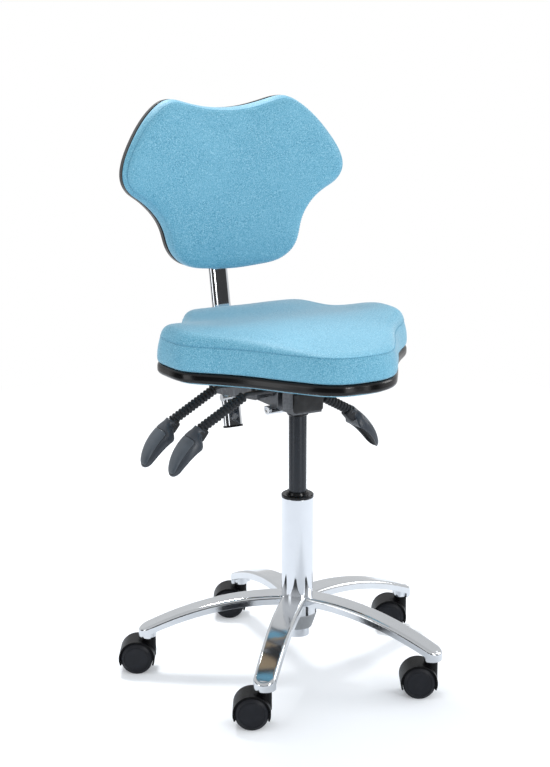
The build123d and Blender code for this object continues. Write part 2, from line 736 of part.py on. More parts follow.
# Back mount: block on the stem's top with a flange, bolted to a pad on the shell.
mount_half = stem_w / 2 + mount_side
mount_wide = mount_half + mount_flange
pad_n = -shell_t - shell_pad_t
flange_n = pad_n - mount_flange_t
mount_s1 = mount_low_s + mount_h
mount = box_of(-mount_half, mount_half, mount_low_s, mount_s1, -back_high, pad_n)
mount = mount + box_of(-mount_wide, mount_wide, mount_low_s, mount_s1, flange_n, pad_n)
mount = back_at.location * mount
mount = mount & stem_box(-mount_wide, mount_wide, -back_high, stem_t / 2 + mount_back, 0, 2 * stem_len)
mount = mount - stem_bar(0, 0, stem_len)
shell_pad = box_of(-mount_wide, mount_wide, mount_low_s, mount_s1, pad_n, 0) - inside_curve(shell_t)
shell = back_at.location * (shell + shell_pad)
flange_bolts = []
for s in (-1, 1):
    for y in (mount_low_s + back_bolt_inset, mount_s1 - back_bolt_inset):
        x = s * (mount_half + mount_flange / 2)
        head = standing(back_bolt_head_r, flange_n - back_bolt_head_h, flange_n, x, y)
        shank = standing(back_bolt_r, flange_n, pad_n + back_bolt_bite, x, y)
        flange_bolts.append(back_at.location * (head + shank))
for bolt in flange_bolts:
    mount = mount - bolt
    shell = shell - bolt
parts["back_mount"] = mount
parts["back_shell"] = shell
parts["back_bolts"] = Compound(children=flange_bolts)

# Castors: hooded twin wheels, in a frame at the stem's axis with the wheels trailing towards -X.
hood_in_r = wheel_r + hood_gap
hood_out_r = hood_in_r + hood_wall
wheel_in = web_half + web_gap
wheel_out = wheel_in + wheel_w
hood_half = wheel_out - wheel_bevel_w / 2
axle_half = wheel_out - wheel_cap


def wheel_solid():
    # About +Y from the web outwards, with a bevelled rim, a face groove and a blind bore.
    r, b = wheel_r, wheel_bevel_r
    g = wheel_groove
    ring = [
        (axle_r + run_fit, wheel_in), (r - 1, wheel_in), (r, wheel_in + 1), (r, wheel_out - wheel_bevel_w),
        (r - b, wheel_out), (wheel_groove_r + g, wheel_out), (wheel_groove_r, wheel_out - g),
        (wheel_groove_r - g, wheel_out), (0, wheel_out), (0, axle_half + run_fit),
        (axle_r + run_fit, axle_half + run_fit),
    ]
    return Rot(-90, 0, 0) * spun(ring)


wheel_left = wheel_solid()
wheel_right = Rot(0, 0, 180) * wheel_left
axle_at = Pos(-castor_trail, 0, wheel_r)
web = Rot(90, 0, 0) * Cylinder(0.8 * wheel_r, 2 * web_half)
hood_ring = Rot(90, 0, 0) * (Cylinder(hood_out_r, 2 * hood_half) - Cylinder(hood_in_r, 2 * hood_half + 2))
hood_solid = Rot(90, 0, 0) * Cylinder(hood_out_r, 2 * web_half)
lip_x = 2 * hood_out_r * cos(radians(hood_lip_angle))
lip_z = -2 * hood_out_r * sin(radians(hood_lip_angle))
lip_points = (0, 0, 0), (lip_x, 0, lip_z), (0, 0, -3 * hood_out_r), (-lip_x, 0, lip_z)
low_cut = extrude(make_face(Polyline(*lip_points, close=True)), hood_half + 1, dir=(0, 1, 0), both=True)
hood = axle_at * (((hood_ring + hood_solid) - low_cut) + web)
tower = standing(hood_r_tower, wheel_r, castor_top_z)
wheel_room = Rot(90, 0, 0) * (Cylinder(hood_in_r, 2 * hood_half + 2) - Cylinder(hood_in_r + 1, 2 * web_half))
hood = hood + (tower - axle_at * wheel_room)
castor_stem_low = wheel_r + sqrt(hood_in_r ** 2 - (castor_trail - castor_stem_r) ** 2) + hood_wall
castor_stem = standing(castor_stem_r, castor_stem_low, castor_top_z + castor_flange_t + castor_stem_rise)
castor_stem = castor_stem + standing(castor_flange_r, castor_top_z, castor_top_z + castor_flange_t)
axle = axle_at * (Rot(90, 0, 0) * Cylinder(axle_r, 2 * axle_half))
hood = hood - standing(castor_stem_r, castor_stem_low, castor_top_z + 1) - axle
for k in range(castor_count):
    angle = radians(base_turn + 360.0 * k / castor_count)
    spot = Pos(stem_circle_r * cos(angle), stem_circle_r * sin(angle), 0) * Rot(0, 0, castor_turn)
    tag = "castor_%d_" % (k + 1)
    parts[tag + "stem"] = spot * castor_stem
    parts[tag + "hood"] = spot * hood
    parts[tag + "axle"] = spot * axle
    parts[tag + "wheel_a"] = spot * (axle_at * wheel_left)
    parts[tag + "wheel_b"] = spot * (axle_at * wheel_right)

os.makedirs("parts", exist_ok=True)
for name, shape in parts.items():
    export_step(shape, "parts/%s.step" % name)
print(len(parts), "nodes")
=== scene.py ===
"""Looks of a swivelling medical chair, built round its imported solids.

Metres, +Z up, floor at Z 0, the sitter faces -Y and the sitter's left is +X.
"""
import json
import math

import bpy
import numpy as np
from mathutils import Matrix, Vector


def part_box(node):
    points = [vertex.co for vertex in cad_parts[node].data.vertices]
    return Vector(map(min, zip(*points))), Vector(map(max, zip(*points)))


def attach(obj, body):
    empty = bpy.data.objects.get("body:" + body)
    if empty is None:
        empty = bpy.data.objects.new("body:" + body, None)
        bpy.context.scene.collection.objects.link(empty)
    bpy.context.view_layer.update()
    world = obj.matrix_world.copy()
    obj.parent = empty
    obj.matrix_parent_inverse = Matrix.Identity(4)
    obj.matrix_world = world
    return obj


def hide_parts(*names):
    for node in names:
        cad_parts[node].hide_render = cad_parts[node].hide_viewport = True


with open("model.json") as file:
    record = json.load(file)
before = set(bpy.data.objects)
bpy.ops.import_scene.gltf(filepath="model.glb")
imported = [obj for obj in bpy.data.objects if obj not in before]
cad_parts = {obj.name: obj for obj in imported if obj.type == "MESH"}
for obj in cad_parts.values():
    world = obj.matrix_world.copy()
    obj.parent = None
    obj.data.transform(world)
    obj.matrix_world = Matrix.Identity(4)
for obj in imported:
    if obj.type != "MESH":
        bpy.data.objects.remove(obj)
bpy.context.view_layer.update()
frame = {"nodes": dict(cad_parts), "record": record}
nodes = frame["nodes"]
scene = bpy.context.scene
mm = 0.001

# Camera, solved from the photograph: 550 by 767 pixels
photo_height_px = 767
focal_px = 1687.05
camera_from = (-1.2830, -2.1782, 1.0699)
camera_to = (-0.0306, 0.0175, 0.4612)
film_mm = 36.0

# Seat pad: right half of its plan, from the front of the pommel to the middle of the rear edge, in mm
seat_half = [
    (0, -197), (35, -193), (63, -175.5), (82.5, -150), (100, -125), (119, -95), (142, -64), (171, -33),
    (199, 1), (204.5, 42), (202, 74), (187, 96), (163, 110), (140, 127.5), (127, 148.5), (112.5, 177),
    (91, 199), (67, 213.5), (38, 216), (0, 210),
]
seat_middle = (0, 30)
seat_gap = 0.3
seat_under_inset = 3.0
seat_seam_h = 38.0
seat_seam_inset = 3.6
seat_wall_top = 41.0
seat_roll = 18.0
seat_wall_bulge = 1.2
seat_foot_out = 1.0
# Side profile of the seat's top, as (Y, rise over the wall's top), in mm
seat_top = [
    (-240, -6), (-205, -2), (-150, 3), (-80, 8.5), (0, 12), (80, 9), (140, 12.5), (190, 10.5), (215, 3.5),
    (250, -5),
]
waist_fall = 3.0
waist_x = 130.0
waist_y = 105.0
waist_spread = 55.0
wing_lift = 7.0
wing_from_x = 105.0
wing_full_x = 185.0
wing_y = 66.0
wing_spread = 62.0

# Back pad: right half of its outline, from the middle of the lower edge to the dip, in mm
back_half = [
    (0, 15), (42, 17.5), (82, 25), (103.5, 41), (113, 58.5), (118.5, 77.5), (129, 99), (145, 117.5),
    (166, 134.5), (184.5, 147.5), (195, 166), (192, 189), (179, 214.5), (159.5, 242), (131, 270),
    (102, 283.5), (79, 280), (45, 272), (0, 268),
]
back_middle = (0, 150)
back_origin = (0.0, 0.228602, 0.597549)
back_lean = math.radians(3.5)
back_curve_r = 482.0
back_front_r = 1170.0
back_t = 40.0
back_crown_h = 303.5
back_crown = 20.0
back_mid = 142.0
# The edge's seam inset and roll, low down and further up, where the edge is softer
back_seam_inset = (1.5, 6.5)
back_roll = (17.0, 27.0)
back_soft_from = 40.0
back_soft_to = 120.0
back_seam_back = 7.5
back_gap = 0.4
back_tuck_inset = 2.0
back_wall_bulge = 1.2
back_grow_rear = 1.5
back_grow_rate = 0.055

# Sections of both pads: places run from 0 in the middle of the underside through the wall's foot and the
# seam to 4 in the middle of the top. Stretches of places are (first, last, count), coarse for Cloth.
foot_place = 1.0
seam_place = 2.0
stitch_place = 2.075
row_slack = 0.02
coarse_places = [(0.15, 0.9, 5), (1.0, 1.9, 9), (2.0, 2.9, 7), (3.0, 3.96, 30)]
fine_places = [(0.15, 0.98, 8), (1.0, 1.86, 18), (1.88, 2.16, 29), (2.19, 2.95, 20), (3.0, 3.985, 70)]
outline_samples = 6000

# Seam, its half width in places and its depth in mm, and the stitches beside it, in mm
seam_width = 0.022
seam_depth = 0.7
stitch_pitch = 4.2
stitch_len = 3.0
stitch_r = 0.36
stitch_rise = 0.1
stitch_sides = 6

# Filling of both pads by Cloth; then each pad's points round it, its pressure and its furthest swell in mm
filling = {
    "quality": 6,
    "mass": 0.25,
    "tension_stiffness": 22.0,
    "compression_stiffness": 22.0,
    "shear_stiffness": 8.0,
    "bending_stiffness": 1.2,
    "use_pressure": True,
}
filling_steps = 20
filling_smooth_passes = 40
filling_thinning = 3
seam_hold = 0.75
seat_columns = 420
seat_pressure = 3.0
seat_swell = 6.0
back_columns = 390
back_pressure = 2.0
back_swell = 5.0

# Cloth turned under the seat: the roll beside the trim as (inset, drop), then a border between two heights
# round the board's underside, and its cut edge as a share of the outline with (size, count, start) waves
wrap_columns = 360
wrap_inset = 14.0
wrap_roll = [(9.6, -0.3), (9.1, 0.8), (9.2, 2.2), (10.0, 2.7), (11.3, 2.7), (12.6, 2.0), (13.4, 1.2)]
wrap_border_drop = 0.9
wrap_border_rise = 0.3
wrap_cut = 0.70
wrap_waves = [(0.010, 9, 0.0), (0.006, 23, 1.0)]

# Levers: side, Y, Z of the pivot, level reach and ribs, in mm
levers = {
    "lever_front": (-1, -20.0, 461.0, 58.0, 13),
    "lever_rear": (-1, 63.5, 455.0, 64.0, 13),
    "lever_left": (1, 8.0, 434.0, 4.0, 8),
}
lever_pivot_x = 37.0
lever_eye_r = 6.0
lever_slope = math.radians(29.0)
lever_dip = math.radians(46.0)
lever_bend_r = 12.0
# Sleeves, in mm apart from the missing share of a rib and the power that flattens the crests
sleeve_end_gap = 3.0
sleeve_pitch = 6.1
sleeve_missing = 0.2
sleeve_r = 8.2
sleeve_groove_r = 6.0
sleeve_end_r = 0.5
sleeve_crest = 0.42
sleeve_tuck = 5.0
sleeve_rib_points = 14
sleeve_columns = 56
# Handles, in mm, with the panel, the hollow and the tip placed as shares of the length
handle_start = 3.0
handle_len = 82.0
handle_half = 22.5
handle_neck_half = 10.5
handle_t = 9.5
handle_wall = 2.2
handle_panel_angle = math.radians(52.0)
handle_panel_corner = 4.0
handle_panel_from = 0.26
handle_panel_to = 0.965
handle_groove_w = 0.55
handle_groove_deep = 0.8
handle_hollow_from = 0.3
handle_hollow_run = 0.12
# Strength of the painted shade inside the hollow underside
handle_hollow_shade = 0.9
handle_tip_from = 0.82
# Collars on the handles' necks, in mm: half sizes at the upper and the lower end
collar_from = -6.0
collar_len = 21.0
collar_half_w = (9.0, 11.6)
collar_half_t = (7.8, 8.8)
collar_drop = 3.6
collar_square = 0.55

# Places and sizes that the materials follow, in metres
hub_cone_r = 0.0325
hub_cone_top = 0.0905
ply_layer = 0.0042
spangles_per_m = 260.0


def srgb(red, green, blue):
    """Linear colour, with alpha, of an eight-bit display colour."""
    c = np.array([red, green, blue]) / 255.0
    c = np.where(c <= 0.04045, c / 12.92, ((c + 0.055) / 1.055) ** 2.4)
    return (*c.tolist(), 1.0)


class Nodes:
    """A node tree. A socket is given by name or number, and takes a value or another node's output."""

    def __init__(self, tree):
        self.tree = tree

    def node(self, kind, sockets=None, **settings):
        """New shader node of a kind, with its settings and sockets."""
        made = self.tree.nodes.new("ShaderNode" + kind)
        for key, value in settings.items():
            setattr(made, key, value)
        self.join(made, sockets or {})
        return made

    def join(self, made, sockets):
        """Fills a node's sockets."""
        for key, value in sockets.items():
            if isinstance(value, bpy.types.NodeSocket):
                self.tree.links.new(value, made.inputs[key])
            else:
                made.inputs[key].default_value = value

    def math(self, operation, first, second=0.0):
        """Result of one operation on two numbers."""
        return self.node("Math", {0: first, 1: second}, operation=operation).outputs[0]

    def span(self, value, low, high, start=0.0, stop=1.0):
        """Value mapped from start..stop to low..high, clamped."""
        sockets = {"Value": value, "From Min": start, "From Max": stop, "To Min": low, "To Max": high}
        return self.node("MapRange", sockets).outputs["Result"]


class Finish(Nodes):
    """One node-based material, patterned by its place in the chair's frame."""

    def __init__(self, name):
        self.material = bpy.data.materials.new(name)
        self.material.use_nodes = True
        super().__init__(self.material.node_tree)
        self.shader = self.tree.nodes["Principled BSDF"]
        self.place = self.node("TexCoord").outputs["Object"]

    def shade(self, **sockets):
        """Sets the shader's sockets, with underscores for spaces in their names."""
        self.join(self.shader, {key.replace("_", " "): value for key, value in sockets.items()})

    def noise(self, size, detail=2.0, stretch=(1.0, 1.0, 1.0), roughness=0.5):
        """Noise with grains of about that size in metres, drawn out by stretch."""
        scale = tuple(1.0 / (size * s) for s in stretch)
        spot = self.node("Mapping", {"Vector": self.place, "Scale": scale}).outputs["Vector"]
        sockets = {"Vector": spot, "Scale": 1.0, "Detail": detail, "Roughness": roughness}
        return self.node("TexNoise", sockets).outputs["Fac"]

    def mix(self, share, first, second):
        """Colour between first and second."""
        made = self.node("Mix", {0: share, 6: first, 7: second}, data_type="RGBA")
        return made.outputs[2]

    def ramp(self, value, stops):
        """Colour ramp through (place, colour) stops."""
        made = self.node("ValToRGB", {"Fac": value})
        elements = made.color_ramp.elements
        while len(elements) < len(stops):
            elements.new(0.5)
        for element, (place, colour) in zip(elements, stops):
            element.position = place
            element.color = colour
        return made.outputs["Color"]

    def bump(self, height, depth, strength=1.0, normal=None):
        """Normal of a surface with bumps of a depth in metres, over another normal if one is given."""
        sockets = {"Height": height, "Distance": depth, "Strength": strength}
        if normal is not None:
            sockets["Normal"] = normal
        return self.node("Bump", sockets).outputs["Normal"]

    def soft_edge(self, radius):
        """Normal that rounds every sharp edge by a radius."""
        return self.node("Bevel", {"Radius": radius}, samples=6).outputs["Normal"]

    def axis(self, name):
        """One coordinate of the place, X, Y or Z."""
        return self.node("SeparateXYZ", {"Vector": self.place}).outputs[name]


def felt_cloth():
    """Light blue felted wool: pale and deep fibres in clumps, a soft sheen, and painted shade that darkens
    the seams' grooves a little.
    """
    f = Finish("felt_cloth")
    fibre = f.noise(0.0011, detail=2.0)
    clump = f.noise(0.0016, detail=3.0, roughness=0.6)
    broad = f.noise(0.07, detail=2.0)
    speckle = f.math("ADD", f.math("MULTIPLY", fibre, 0.45), f.math("MULTIPLY", clump, 0.55))
    colour = f.ramp(speckle, [
        (0.35, srgb(46, 115, 148)), (0.46, srgb(88, 159, 188)), (0.54, srgb(109, 176, 202)),
        (0.66, srgb(170, 213, 228)),
    ])
    worn = f.mix(f.span(broad, 0.0, 0.35, 0.35, 0.75), colour, srgb(116, 181, 206))
    # Painted shade: the seam attribute, each seam groove's share, darkens the colour towards a deeper blue.
    seam = f.node("Attribute", attribute_name="seam").outputs["Fac"]
    f.shade(Base_Color=f.mix(f.math("MULTIPLY", seam, 0.4), worn, srgb(58, 122, 152)))
    nap = f.bump(fibre, 0.0005, 0.55)
    f.shade(Normal=f.bump(clump, 0.0009, 0.45, nap), Roughness=0.54)
    f.shade(Sheen_Weight=0.3, Sheen_Roughness=0.35, Sheen_Tint=(1.0, 1.0, 1.0, 1.0), Specular_IOR_Level=0.5)
    return f.material


def sewing_thread():
    """Twisted blue thread."""
    f = Finish("sewing_thread")
    twist = f.noise(0.0006, detail=1.0)
    f.shade(Base_Color=f.mix(twist, srgb(52, 120, 152), srgb(96, 166, 196)), Roughness=0.8)
    f.shade(Normal=f.bump(twist, 0.0002, 0.5))
    return f.material


def polished_casting():
    """Polished aluminium with faint polishing marks, and grey as-cast skin below and on the hub's cone."""
    f = Finish("polished_casting")
    marks = f.noise(0.0016, detail=3.0, stretch=(1.0, 1.0, 5.0))
    cloudy = f.noise(0.03, detail=3.0)
    grit = f.noise(0.0012, detail=3.0)
    facing = f.node("SeparateXYZ", {"Vector": f.node("TexCoord").outputs["Normal"]}).outputs["Z"]
    below = f.span(facing, 1.0, 0.0, -0.5, -0.3)
    x, y, z = f.axis("X"), f.axis("Y"), f.axis("Z")
    radius = f.math("SQRT", f.math("ADD", f.math("MULTIPLY", x, x), f.math("MULTIPLY", y, y)))
    inside = f.math("LESS_THAN", radius, hub_cone_r)
    cone = f.math("MULTIPLY", inside, f.math("LESS_THAN", z, hub_cone_top))
    cast = f.math("MAXIMUM", below, cone)
    bright = f.mix(cloudy, (0.73, 0.75, 0.775, 1.0), (0.81, 0.825, 0.845, 1.0))
    dull = f.mix(grit, (0.36, 0.37, 0.38, 1.0), (0.52, 0.53, 0.54, 1.0))
    f.shade(Base_Color=f.mix(cast, bright, dull), Metallic=1.0)
    polish = f.math("ADD", f.span(marks, 0.05, 0.13), f.span(cloudy, -0.01, 0.04))
    rough = f.node("Mix", {0: cast, 2: polish, 3: 0.55}, data_type="FLOAT").outputs[0]
    edge = f.soft_edge(0.0007)
    fine = f.bump(marks, 0.00004, 0.25, edge)
    f.shade(Roughness=rough, Normal=f.bump(f.math("MULTIPLY", grit, cast), 0.0006, 0.6, fine))
    return f.material


def chrome_plate():
    """Bright plating over a drawn tube: nearly a mirror, with faint lengthwise draw lines."""
    f = Finish("chrome_plate")
    lines = f.noise(0.0011, detail=2.0, stretch=(1.0, 1.0, 60.0))
    haze = f.noise(0.02, detail=3.0)
    f.shade(Base_Color=f.mix(haze, (0.79, 0.81, 0.845, 1.0), (0.85, 0.87, 0.90, 1.0)), Metallic=1.0)
    f.shade(Roughness=f.span(haze, 0.03, 0.075))
    f.shade(Normal=f.bump(lines, 0.00002, 0.2, f.soft_edge(0.0008)))
    return f.material


def black_lacquer():
    """Satin black on the gas cylinder, with fine scuffs along it where it slides."""
    f = Finish("black_lacquer")
    scuff = f.noise(0.0022, detail=3.0, stretch=(1.0, 1.0, 30.0))
    cloudy = f.noise(0.025, detail=2.0)
    f.shade(Base_Color=f.mix(f.span(scuff, 0.0, 0.5, 0.5, 0.8), srgb(45, 48, 53), srgb(53, 57, 63)))
    f.shade(Roughness=f.math("ADD", f.span(cloudy, 0.20, 0.28), f.span(scuff, 0.0, 0.05)), Metallic=0.35)
    f.shade(Normal=f.bump(scuff, 0.00002, 0.1, f.soft_edge(0.0006)))
    return f.material


def gloss_black(name, edge):
    """Moulded gloss black plastic: a faint orange peel, and dust that dulls it in patches."""
    f = Finish(name)
    peel = f.noise(0.004, detail=2.0)
    dust = f.noise(0.0009, detail=3.0)
    patch = f.noise(0.045, detail=3.0)
    f.shade(Base_Color=f.mix(f.span(dust, 0.0, 1.0, 0.55, 0.85), srgb(8, 8, 9), srgb(20, 20, 22)))
    f.shade(Roughness=f.span(patch, 0.14, 0.24), Specular_IOR_Level=0.4)
    f.shade(Normal=f.bump(peel, 0.00012, 0.35, f.soft_edge(edge)))
    return f.material


def matt_black(name, deep, pale, roughness, edge, shine):
    """Moulded matt plastic with a fine spark texture, paler where it is scuffed."""
    f = Finish(name)
    spark = f.noise(0.0007, detail=2.0)
    scuff = f.noise(0.012, detail=4.0)
    f.shade(Base_Color=f.mix(f.span(scuff, 0.0, 0.8, 0.45, 0.8), deep, pale))
    dull = f.span(scuff, roughness - 0.06, roughness + 0.06)
    f.shade(Roughness=f.math("ADD", dull, f.span(spark, -0.03, 0.03)), Specular_IOR_Level=shine)
    f.shade(Normal=f.bump(spark, 0.00018, 0.5, f.soft_edge(edge)))
    return f.material


def zinc_plate(name, deep, pale, rough):
    """Zinc-plated steel: grey, with soft spangle and rubbed patches."""
    f = Finish(name)
    spangle = f.node("TexVoronoi", {"Vector": f.place, "Scale": spangles_per_m}).outputs["Distance"]
    rub = f.noise(0.009, detail=4.0)
    tone = f.math("ADD", f.math("MULTIPLY", spangle, 0.4), f.math("MULTIPLY", rub, 0.6))
    f.shade(Base_Color=f.mix(tone, deep, pale), Metallic=1.0)
    f.shade(Roughness=f.span(rub, rough - 0.1, rough + 0.1))
    f.shade(Normal=f.bump(rub, 0.0001, 0.3, f.soft_edge(0.0006)))
    return f.material


def powder_coat(name, deep, pale):
    """Powder coat with a fine leathery grain, worn pale in spots."""
    f = Finish(name)
    grain = f.noise(0.0013, detail=2.0)
    wear = f.noise(0.010, detail=4.0)
    f.shade(Base_Color=f.mix(f.span(wear, 0.0, 1.0, 0.5, 0.8), deep, pale))
    f.shade(Roughness=f.span(wear, 0.38, 0.55), Normal=f.bump(grain, 0.0002, 0.5, f.soft_edge(0.0009)))
    return f.material


def birch_ply():
    """Birch plywood: drawn-out grain on its faces, thin glued layers on its edge."""
    f = Finish("birch_ply")
    grain = f.noise(0.003, detail=4.0, stretch=(14.0, 1.0, 1.0))
    layer = f.math("SINE", f.math("MULTIPLY", f.axis("Z"), 2 * math.pi / ply_layer))
    wood = f.mix(grain, srgb(150, 126, 96), srgb(182, 158, 124))
    f.shade(Base_Color=f.mix(f.span(layer, 0.0, 0.35, 0.2, 0.9), wood, srgb(112, 86, 60)))
    f.shade(Roughness=f.span(grain, 0.55, 0.75), Normal=f.bump(grain, 0.0002, 0.4))
    return f.material


def moulded_grey():
    """Grey moulded plastic with a fine spark texture, a slightly paler panel, and painted shade in the
    groove round it and in the hollow underside.
    """
    f = Finish("handle_plastic")
    spark = f.noise(0.0007, detail=2.0)
    scuff = f.noise(0.012, detail=4.0)
    panel = f.node("Attribute", attribute_name="panel").outputs["Fac"]
    # Painted shade: the groove attribute darkens the groove round the panel and the hollow underside to
    # near black.
    groove = f.node("Attribute", attribute_name="groove").outputs["Fac"]
    body = f.mix(scuff, srgb(46, 51, 58), srgb(62, 68, 76))
    face = f.mix(scuff, srgb(60, 67, 75), srgb(80, 88, 96))
    f.shade(Base_Color=f.mix(f.math("MULTIPLY", groove, 0.85), f.mix(panel, body, face), srgb(14, 15, 16)))
    f.shade(Roughness=f.math("ADD", f.span(scuff, 0.28, 0.40), f.span(spark, -0.03, 0.03)))
    f.shade(Normal=f.bump(spark, 0.00015, 0.4), Specular_IOR_Level=0.5)
    return f.material


def ribbed_rubber():
    """Matt black rubber, dusty grey in patches."""
    f = Finish("ribbed_rubber")
    dust = f.noise(0.0016, detail=3.0)
    f.shade(Base_Color=f.mix(f.span(dust, 0.0, 1.0, 0.5, 0.85), srgb(26, 28, 32), srgb(46, 50, 55)))
    f.shade(Roughness=f.span(dust, 0.48, 0.64), Normal=f.bump(dust, 0.00015, 0.4))
    return f.material


cloth = felt_cloth()
thread = sewing_thread()
rubber = ribbed_rubber()
handle_plastic = moulded_grey()
finish_of_slot = {
    "cast_aluminium": polished_casting(),
    "bright_chrome": chrome_plate(),
    "dark_cylinder": black_lacquer(),
    "black_ring": gloss_black("ring_black", 0.0008),
    "zinc_steel": zinc_plate("zinc_plate", (0.50, 0.51, 0.53, 1.0), (0.80, 0.81, 0.82, 1.0), 0.32),
    "charcoal_plate": powder_coat("powder_coat", srgb(40, 41, 44), srgb(74, 76, 80)),
    "black_cover": matt_black("cover_black", srgb(24, 25, 27), srgb(38, 40, 43), 0.40, 0.0015, 0.35),
    "ply_board": birch_ply(),
    "black_edging": gloss_black("edging_black", 0.002),
    "blue_fabric": cloth,
    "black_shell": gloss_black("shell_black", 0.0028),
    "rubber_sleeve": rubber,
    "grey_handle": handle_plastic,
    "black_hood": matt_black("hood_black", srgb(9, 9, 11), srgb(16, 16, 19), 0.38, 0.0025, 0.14),
    "black_wheel": matt_black("wheel_black", srgb(20, 22, 28), srgb(30, 32, 38), 0.40, 0.0012, 0.30),
}
# Nodes whose own finish differs a little from their slot's
pressed_steel = zinc_plate("pressed_steel", (0.10, 0.105, 0.115, 1.0), (0.26, 0.27, 0.285, 1.0), 0.45)
finish_of_node = {
    "mech_housing": pressed_steel,
    "back_bracket": powder_coat("bracket_coat", srgb(74, 76, 80), srgb(112, 114, 118)),
    "front_cover": matt_black("cover_grey", srgb(46, 46, 47), srgb(66, 66, 67), 0.62, 0.0022, 0.3),
    "rod_collar": finish_of_slot["black_ring"],
    "stem_stop_bolt": pressed_steel,
}
for row in frame["record"]["subparts"]:
    skin = nodes[row["node"]].data.materials
    skin.clear()
    skin.append(finish_of_node.get(row["node"], finish_of_slot[row["material_slot"]]))


def through(points, at):
    """Smooth curve y(x) through (x, y) points: a natural cubic spline, worked out at the given x."""
    x, y = np.array(points, float).T
    h = np.diff(x)
    n = len(x)
    a = np.eye(n)
    b = np.zeros(n)
    for i in range(1, n - 1):
        a[i, i - 1:i + 2] = h[i - 1], 2 * (h[i - 1] + h[i]), h[i]
        b[i] = 6 * ((y[i + 1] - y[i]) / h[i] - (y[i] - y[i - 1]) / h[i - 1])
    m = np.linalg.solve(a, b)
    at = np.asarray(at, float)
    k = np.clip(np.searchsorted(x, at) - 1, 0, n - 2)
    s, t = at - x[k], x[k + 1] - at
    bend = (m[k] * t ** 3 + m[k + 1] * s ** 3) / (6 * h[k])
    return bend + (y[k] / h[k] - m[k] * h[k] / 6) * t + (y[k + 1] / h[k] - m[k + 1] * h[k] / 6) * s


def closed_outline(half, count):
    """Even points on the closed smooth curve through a half outline and its mirror image: a periodic cubic
    spline in chord length, sampled at equal arc lengths. Returns points and outward normals."""
    half = np.array(half, float)
    ring = np.concatenate([half, half[1:-1][::-1] * (-1, 1)])
    step = np.linalg.norm(np.roll(ring, -1, 0) - ring, axis=1)
    n = len(ring)
    i = np.arange(n)
    before = np.roll(step, 1)
    a = np.zeros((n, n))
    a[i, i] = 2 * (before + step)
    a[i, i - 1] += before
    a[i, (i + 1) % n] += step
    slope = (np.roll(ring, -1, 0) - ring) / step[:, None]
    m = np.linalg.solve(a, 6 * (slope - np.roll(slope, 1, 0)))
    start = np.concatenate([[0], np.cumsum(step)])

    def place(at):
        k = np.clip(np.searchsorted(start, at, side="right") - 1, 0, n - 1)
        j = (k + 1) % n
        h = step[k][:, None]
        s = (at - start[k])[:, None]
        t = h - s
        bend = (m[k] * t ** 3 + m[j] * s ** 3) / (6 * h)
        return bend + (ring[k] / h - m[k] * h / 6) * t + (ring[j] / h - m[j] * h / 6) * s

    fine = np.linspace(0, start[-1], outline_samples)
    run = np.concatenate([[0], np.cumsum(np.linalg.norm(np.diff(place(fine), axis=0), axis=1))])
    at = np.interp(np.linspace(0, run[-1], count, endpoint=False), run, fine)
    points = place(at)
    tangent = np.roll(points, -1, 0) - np.roll(points, 1, 0)
    tangent /= np.linalg.norm(tangent, axis=1)[:, None]
    return points, np.stack([tangent[:, 1], -tangent[:, 0]], 1)


def ring_faces(rows, columns):
    """Quads between rows of a closed grid, with vertex row * columns + column."""
    r, c = np.meshgrid(np.arange(rows - 1), np.arange(columns), indexing="ij")
    d = (c + 1) % columns
    quads = np.stack([r * columns + c, r * columns + d, (r + 1) * columns + d, (r + 1) * columns + c], -1)
    return quads.reshape(-1, 4).tolist()


def fan(pole, first, columns, flip):
    """Triangles from a pole to the ring that starts at vertex first."""
    c = np.arange(columns)
    d = (c + 1) % columns
    pair = (d, c) if flip else (c, d)
    return np.stack([np.full(columns, pole), first + pair[0], first + pair[1]], -1).tolist()


def new_piece(name, vertices, faces, material):
    """Smooth-shaded mesh object, its vertices in the chair's frame."""
    mesh = bpy.data.meshes.new(name)
    mesh.from_pydata(np.asarray(vertices, float).tolist(), [], faces)
    mesh.polygons.foreach_set("use_smooth", np.ones(len(mesh.polygons), bool))
    mesh.materials.append(material)
    piece = bpy.data.objects.new(name, mesh)
    scene.collection.objects.link(piece)
    return piece


def outward(vertices, faces):
    """Faces of a closed skin, turned over where that makes the volume inside them positive."""
    corner = vertices[np.array([face[:3] for face in faces])] - vertices.mean(0)
    if (corner[:, 0] * np.cross(corner[:, 1], corner[:, 2])).sum() < 0:
        return [face[::-1] for face in faces]
    return faces


def closed_rings(name, grid, low_pole, high_pole, material):
    """Closed skin of a grid of rings, from a pole below its first row to a pole above its last."""
    rows, columns = grid.shape[:2]
    vertices = np.concatenate([grid.reshape(-1, 3), [low_pole, high_pole]])
    count = rows * columns
    faces = ring_faces(rows, columns)
    faces += fan(count, 0, columns, True) + fan(count + 1, count - columns, columns, False)
    return new_piece(name, vertices, outward(vertices, faces), material)


def set_share(piece, name, values):
    """Writes one number per vertex of a grid to a closed piece's attribute, with 0 at both poles."""
    values = np.concatenate([np.ravel(values), [0.0, 0.0]]).astype(np.float32)
    piece.data.attributes.new(name, "FLOAT", "POINT").data.foreach_set("value", values)


